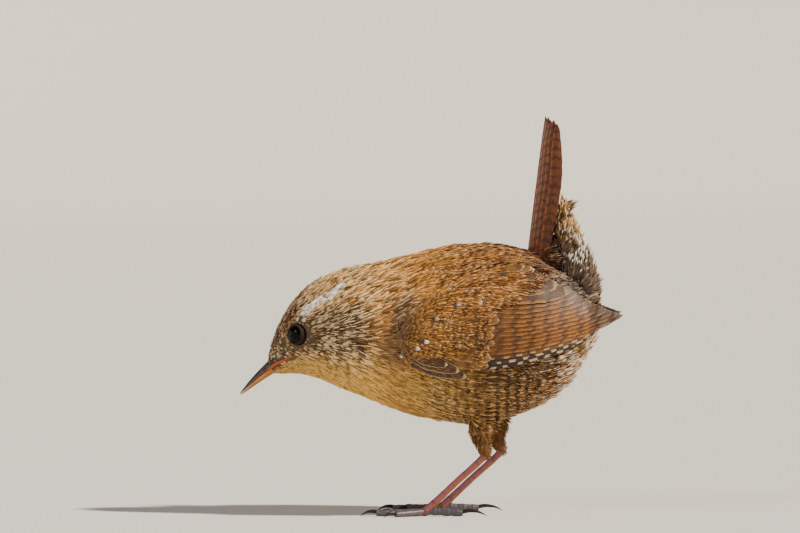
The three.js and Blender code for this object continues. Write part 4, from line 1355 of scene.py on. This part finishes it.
def horn_finish(name, base, edge_ink, base_ink):
    f = Finish(name)
    along, edge = f.attribute("along"), f.attribute("edge")
    tone = f.noise(700.0, 4.0)
    colour = f.blend(f.clamp(0.55, 0.95, edge + tone * 0.2), ink(base), ink(edge_ink))
    colour = f.blend(f.clamp(0.5, 0.1, along) * f.clamp(0.2, 0.9, edge), colour, ink(base_ink))
    colour = f.blend(f.clamp(0.4, 0.75, tone) * 0.35, colour, ink("1a100c"))
    # The nostril's slit is painted near black, as painted shade inside its opening.
    colour = f.blend(f.clamp(0.2, 0.7, f.attribute("slit")), colour, ink("080506"))
    return f.done(colour, 0.32, relief=tone)


upper_finish = horn_finish("upper bill", "2a2228", "5a3524", "7c3a16")
lower_finish = horn_finish("lower bill", "b87420", "cf8424", "ac400c")
upper = face_out(piece("bill_top", *bill_half(1, CULMEN), upper_finish))
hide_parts("bill_upper")


def tube(points, radii, steps=24, sides=12, flat=1.0):
    """A round tube of changing radius along a smooth curve."""
    u = np.linspace(0, 1, steps)
    line = spline(points, u)
    ahead = unit(np.gradient(line, axis=0))
    across = unit(np.cross([0, 1, 0], ahead))
    beside = np.cross(ahead, across)
    r = np.interp(u, np.linspace(0, 1, len(radii)), radii)
    a = circle(sides)[None, :, None]
    ring = np.cos(a) * across[:, None] + flat * np.sin(a) * beside[:, None]
    return line[:, None] + ring * r[:, None, None], u


def gape(side):
    line = []
    for u in (0.52, 0.36, 0.22, 0.06):
        p = mouth_at(np.array(u))
        cheek = float(body_side(p[0], p[2])) + 0.25 if u < 0.4 else 0
        line.append([p[0], side * max(cheek, BILL_HALF * 0.92 * (1 - u) ** 0.8), p[2]])
    x, z = GAPE_CORNER
    line.append([x, side * (float(body_side(x, z)) + 0.1), z])
    rings, u = tube(turned(np.array(line)), [0.1, 0.26, 0.34, 0.26, 0.08])
    points, faces = loft(rings)
    n = len(points)
    return points, faces, {"along": np.zeros(n), "edge": np.ones(n), "slit": np.zeros(n)}


under_parts = [bill_half(-1, GONYS), gape(LEFT), gape(RIGHT)]
lower = face_out(piece("bill_under", *joined(under_parts), lower_finish))
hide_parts("bill_lower")
for part in (upper, lower):
    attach(part, "root")
print("bill triangles:", triangles(upper) + triangles(lower))

# %% [markdown]
# A wren's shank is cased in smooth plates in front and its toes in rings of scales. Each is a
# tube whose radius steps like a row of overlapping shells.


# %% Legs and toes
def leg_finish(name, front, rear, deep):
    f = Finish(name)
    side, step = f.attribute("front"), f.attribute("scute")
    tone = f.noise(1300.0, 3.0)
    colour = f.blend(f.clamp(0.3, 0.7, side + tone * 0.2 - 0.1), ink(rear), ink(front))
    colour = f.blend(f.clamp(0.25, 0.0, step) * 0.6, colour, ink(deep))
    colour = f.blend(f.clamp(0.4, 0.8, tone) * 0.3, colour, ink(deep))
    return f.done(colour, 0.42, relief=tone)


shank_finish = leg_finish("shank", "7c3c50", "8c4c1e", "2d2228")
toe_finish = leg_finish("toes", "3c3c49", "544a4c", "15131a")
claw_finish = skin_finish("claws", "2b2422", 0.25, "0e0b0b")


def scaled_tube(points, radii, plates, steps=120, sides=20):
    rings, u = tube(points, radii, steps, sides)
    middle = rings.mean(1, keepdims=True)
    step = (u * plates) % 1.0
    swell = 1 + 0.07 * (1 - step)[:, None, None] * smooth(0.0, 0.12, step)[:, None, None]
    rings = middle + (rings - middle) * swell
    ahead = (middle - rings)[..., 0] / np.maximum(np.linalg.norm(rings - middle, axis=-1), 1e-6)
    verts, faces = loft(rings)
    front = (0.5 + 0.5 * ahead).ravel()
    return verts, faces, {"front": front, "scute": np.repeat(step, sides)}


TOES = {
    # turn in degrees, length, claw, radius
    "inner": (34, 7.2, 3.0, 0.62),
    "middle": (4, 9.8, 3.5, 0.68),
    "outer": (-26, 7.8, 3.0, 0.62),
    "hind": (176, 7.4, 5.2, 0.74),
}


def ball(centre, radius):
    points, faces = loft(centre + sphere(14, 20) * radius)
    return points, faces, {"front": np.full(len(points), 0.5), "scute": np.full(len(points), 0.08)}


for side_name, (side, back) in LEGS.items():
    hip, heel, foot = leg_frame(side, back)
    down = foot - heel
    halfway = mix(heel, foot, 0.5) + [-0.15, 0, -0.15]
    line = [heel - down * 0.06 + [-0.4, 0, 0.4], heel, halfway, foot]
    parts = [scaled_tube(line, [1.15, 1.0, 0.7, 0.66, 0.68, 0.82], 9)]
    parts.append(ball(foot, 0.92))
    shank = joined(parts)
    shank[0][:, 2] = np.maximum(shank[0][:, 2], 0.0)
    leg = face_out(piece(f"leg_{side_name}", *shank, shank_finish))
    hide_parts(f"shank_{side_name}")
    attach(leg, "root")
    for toe_name, (turn, length, claw, radius) in TOES.items():
        heading = math.pi - side * math.radians(turn)
        ahead = np.array([math.cos(heading), math.sin(heading), 0])

        def at(distance, height):
            return np.array([*(foot + ahead * distance)[:2], height])

        line = [at(0.2, 0.9), at(length * 0.3, radius + 0.16), at(length * 0.65, radius + 0.06),
                at(length * 0.97, radius * 0.95), at(length * 1.03, radius * 1.0)]
        pads = [radius * r for r in (0.95, 0.86, 1.03, 0.88, 1.02, 0.86, 0.98, 0.84, 0.9, 0.72)]
        toe = scaled_tube(line, pads, int(length * 1.6), steps=100, sides=18)
        toe[0][:, 2] = np.maximum(toe[0][:, 2], 0.0)
        toe_piece = face_out(piece(f"toe_scales_{toe_name}_{side_name}", *toe, toe_finish))
        hook = [at(length * 0.93, radius * 1.0), at(length + claw * 0.3, radius * 1.5),
                at(length + claw * 0.7, radius * 1.15), at(length + claw, 0.1)]
        rings, _ = tube(hook, [0.42, 0.4, 0.3, 0.18, 0.05], 26, 12, 0.7)
        points, faces = loft(rings)
        points[:, 2] = np.maximum(points[:, 2], 0.0)
        nail = face_out(piece(f"claw_{toe_name}_{side_name}", points, faces, None, claw_finish))
        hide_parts(f"toe_{toe_name}_{side_name}")
        for part in (toe_piece, nail):
            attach(part, "root")

# %% [markdown]
# The bird stands on a plain pale floor whose rim curves up all round. The key light comes from
# behind the tail, high and a little to the camera's side, so the tail throws its shade on the
# back. A large soft light fills the rest.


# %% Stage
def plain(name, code):
    return Finish(name).done((*ink(code), 1), 0.8)


def bowl():
    """A round floor whose rim curves up, so that it is the background from every side."""
    flat, bend, top, sides = 2.3, 0.7, 1.1, 64
    turns = np.linspace(0, math.pi / 2, 16)
    profile = [(0.4, 0.0), (flat, 0.0)]
    profile += [(flat + bend * math.sin(a), bend - bend * math.cos(a)) for a in turns[1:]]
    profile.append((flat + bend, top))
    points = [(0.0, 0.0, 0.0)]
    for r, z in profile:
        points += [(r * math.cos(a), r * math.sin(a), z) for a in circle(sides)]
    faces = [(0, 1 + k, 1 + (k + 1) % sides) for k in range(sides)]
    for i in range(len(profile) - 1):
        for k in range(sides):
            a, b = 1 + i * sides + k, 1 + i * sides + (k + 1) % sides
            faces.append((a, a + sides, b + sides, b))
    return points, faces


floor = piece("floor", *bowl(), None, plain("pale floor", "d8d3cc"), place=False)
floor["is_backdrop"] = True


def light(name, kind, place, aim, energy, size, colour):
    lamp = bpy.data.lights.new(name, kind)
    lamp.energy, lamp.color = energy, colour
    if kind == "SUN":
        lamp.angle = size
    else:
        lamp.shape, lamp.size = "DISK", size
    obj = bpy.data.objects.new(name, lamp)
    obj.location = place
    obj.rotation_euler = (Vector(aim) - Vector(place)).to_track_quat("-Z", "Y").to_euler()
    bpy.context.scene.collection.objects.link(obj)


light("key", "SUN", (0.95, -0.3, 0.98), (0, 0, 0.03), 7.0, math.radians(4), (1.0, 0.93, 0.8))
light("fill", "AREA", (-1.1, -1.2, 0.9), (0, 0, 0.04), 8, 0.5, (0.9, 0.95, 1.0))
world = bpy.data.worlds.new("studio")
world.use_nodes = True
world.node_tree.nodes["Background"].inputs[0].default_value = (0.62, 0.62, 0.64, 1)
world.node_tree.nodes["Background"].inputs[1].default_value = 0.3
bpy.context.scene.world = world

# %% [markdown]
# The camera looks at the bird from its left, as in the picture that the side view was measured
# in. It stands far away behind a long lens, and the lens is worked out so that one pixel is one
# pixel of the side view.

# %% Camera
PICTURE = (800, 533)
DISTANCE = 2.0
SENSOR = 36
ELEVATION = math.radians(2)
look_x, look_z = seen(PICTURE[0] / 2, PICTURE[1] / 2)
lens = bpy.data.cameras.new("camera")
lens.sensor_width = SENSOR
lens.lens = SENSOR * DISTANCE / (PICTURE[0] * PIXEL * MM)
lens.clip_end = 10
camera = bpy.data.objects.new("camera", lens)
target = np.array([(look_x + shift) * MM, 0, look_z * MM])
camera.location = target + DISTANCE * np.array([0, -math.cos(ELEVATION), math.sin(ELEVATION)])
camera.rotation_euler = (math.pi / 2 - ELEVATION, 0, 0)
bpy.context.scene.collection.objects.link(camera)
bpy.context.scene.camera = camera

# %% [markdown]
# At the end the triangles are counted. The bird's box should reach just past the solid model's.

# %% Finished
print("triangles in all:", sum(triangles(shown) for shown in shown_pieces() if shown.type == "MESH"))
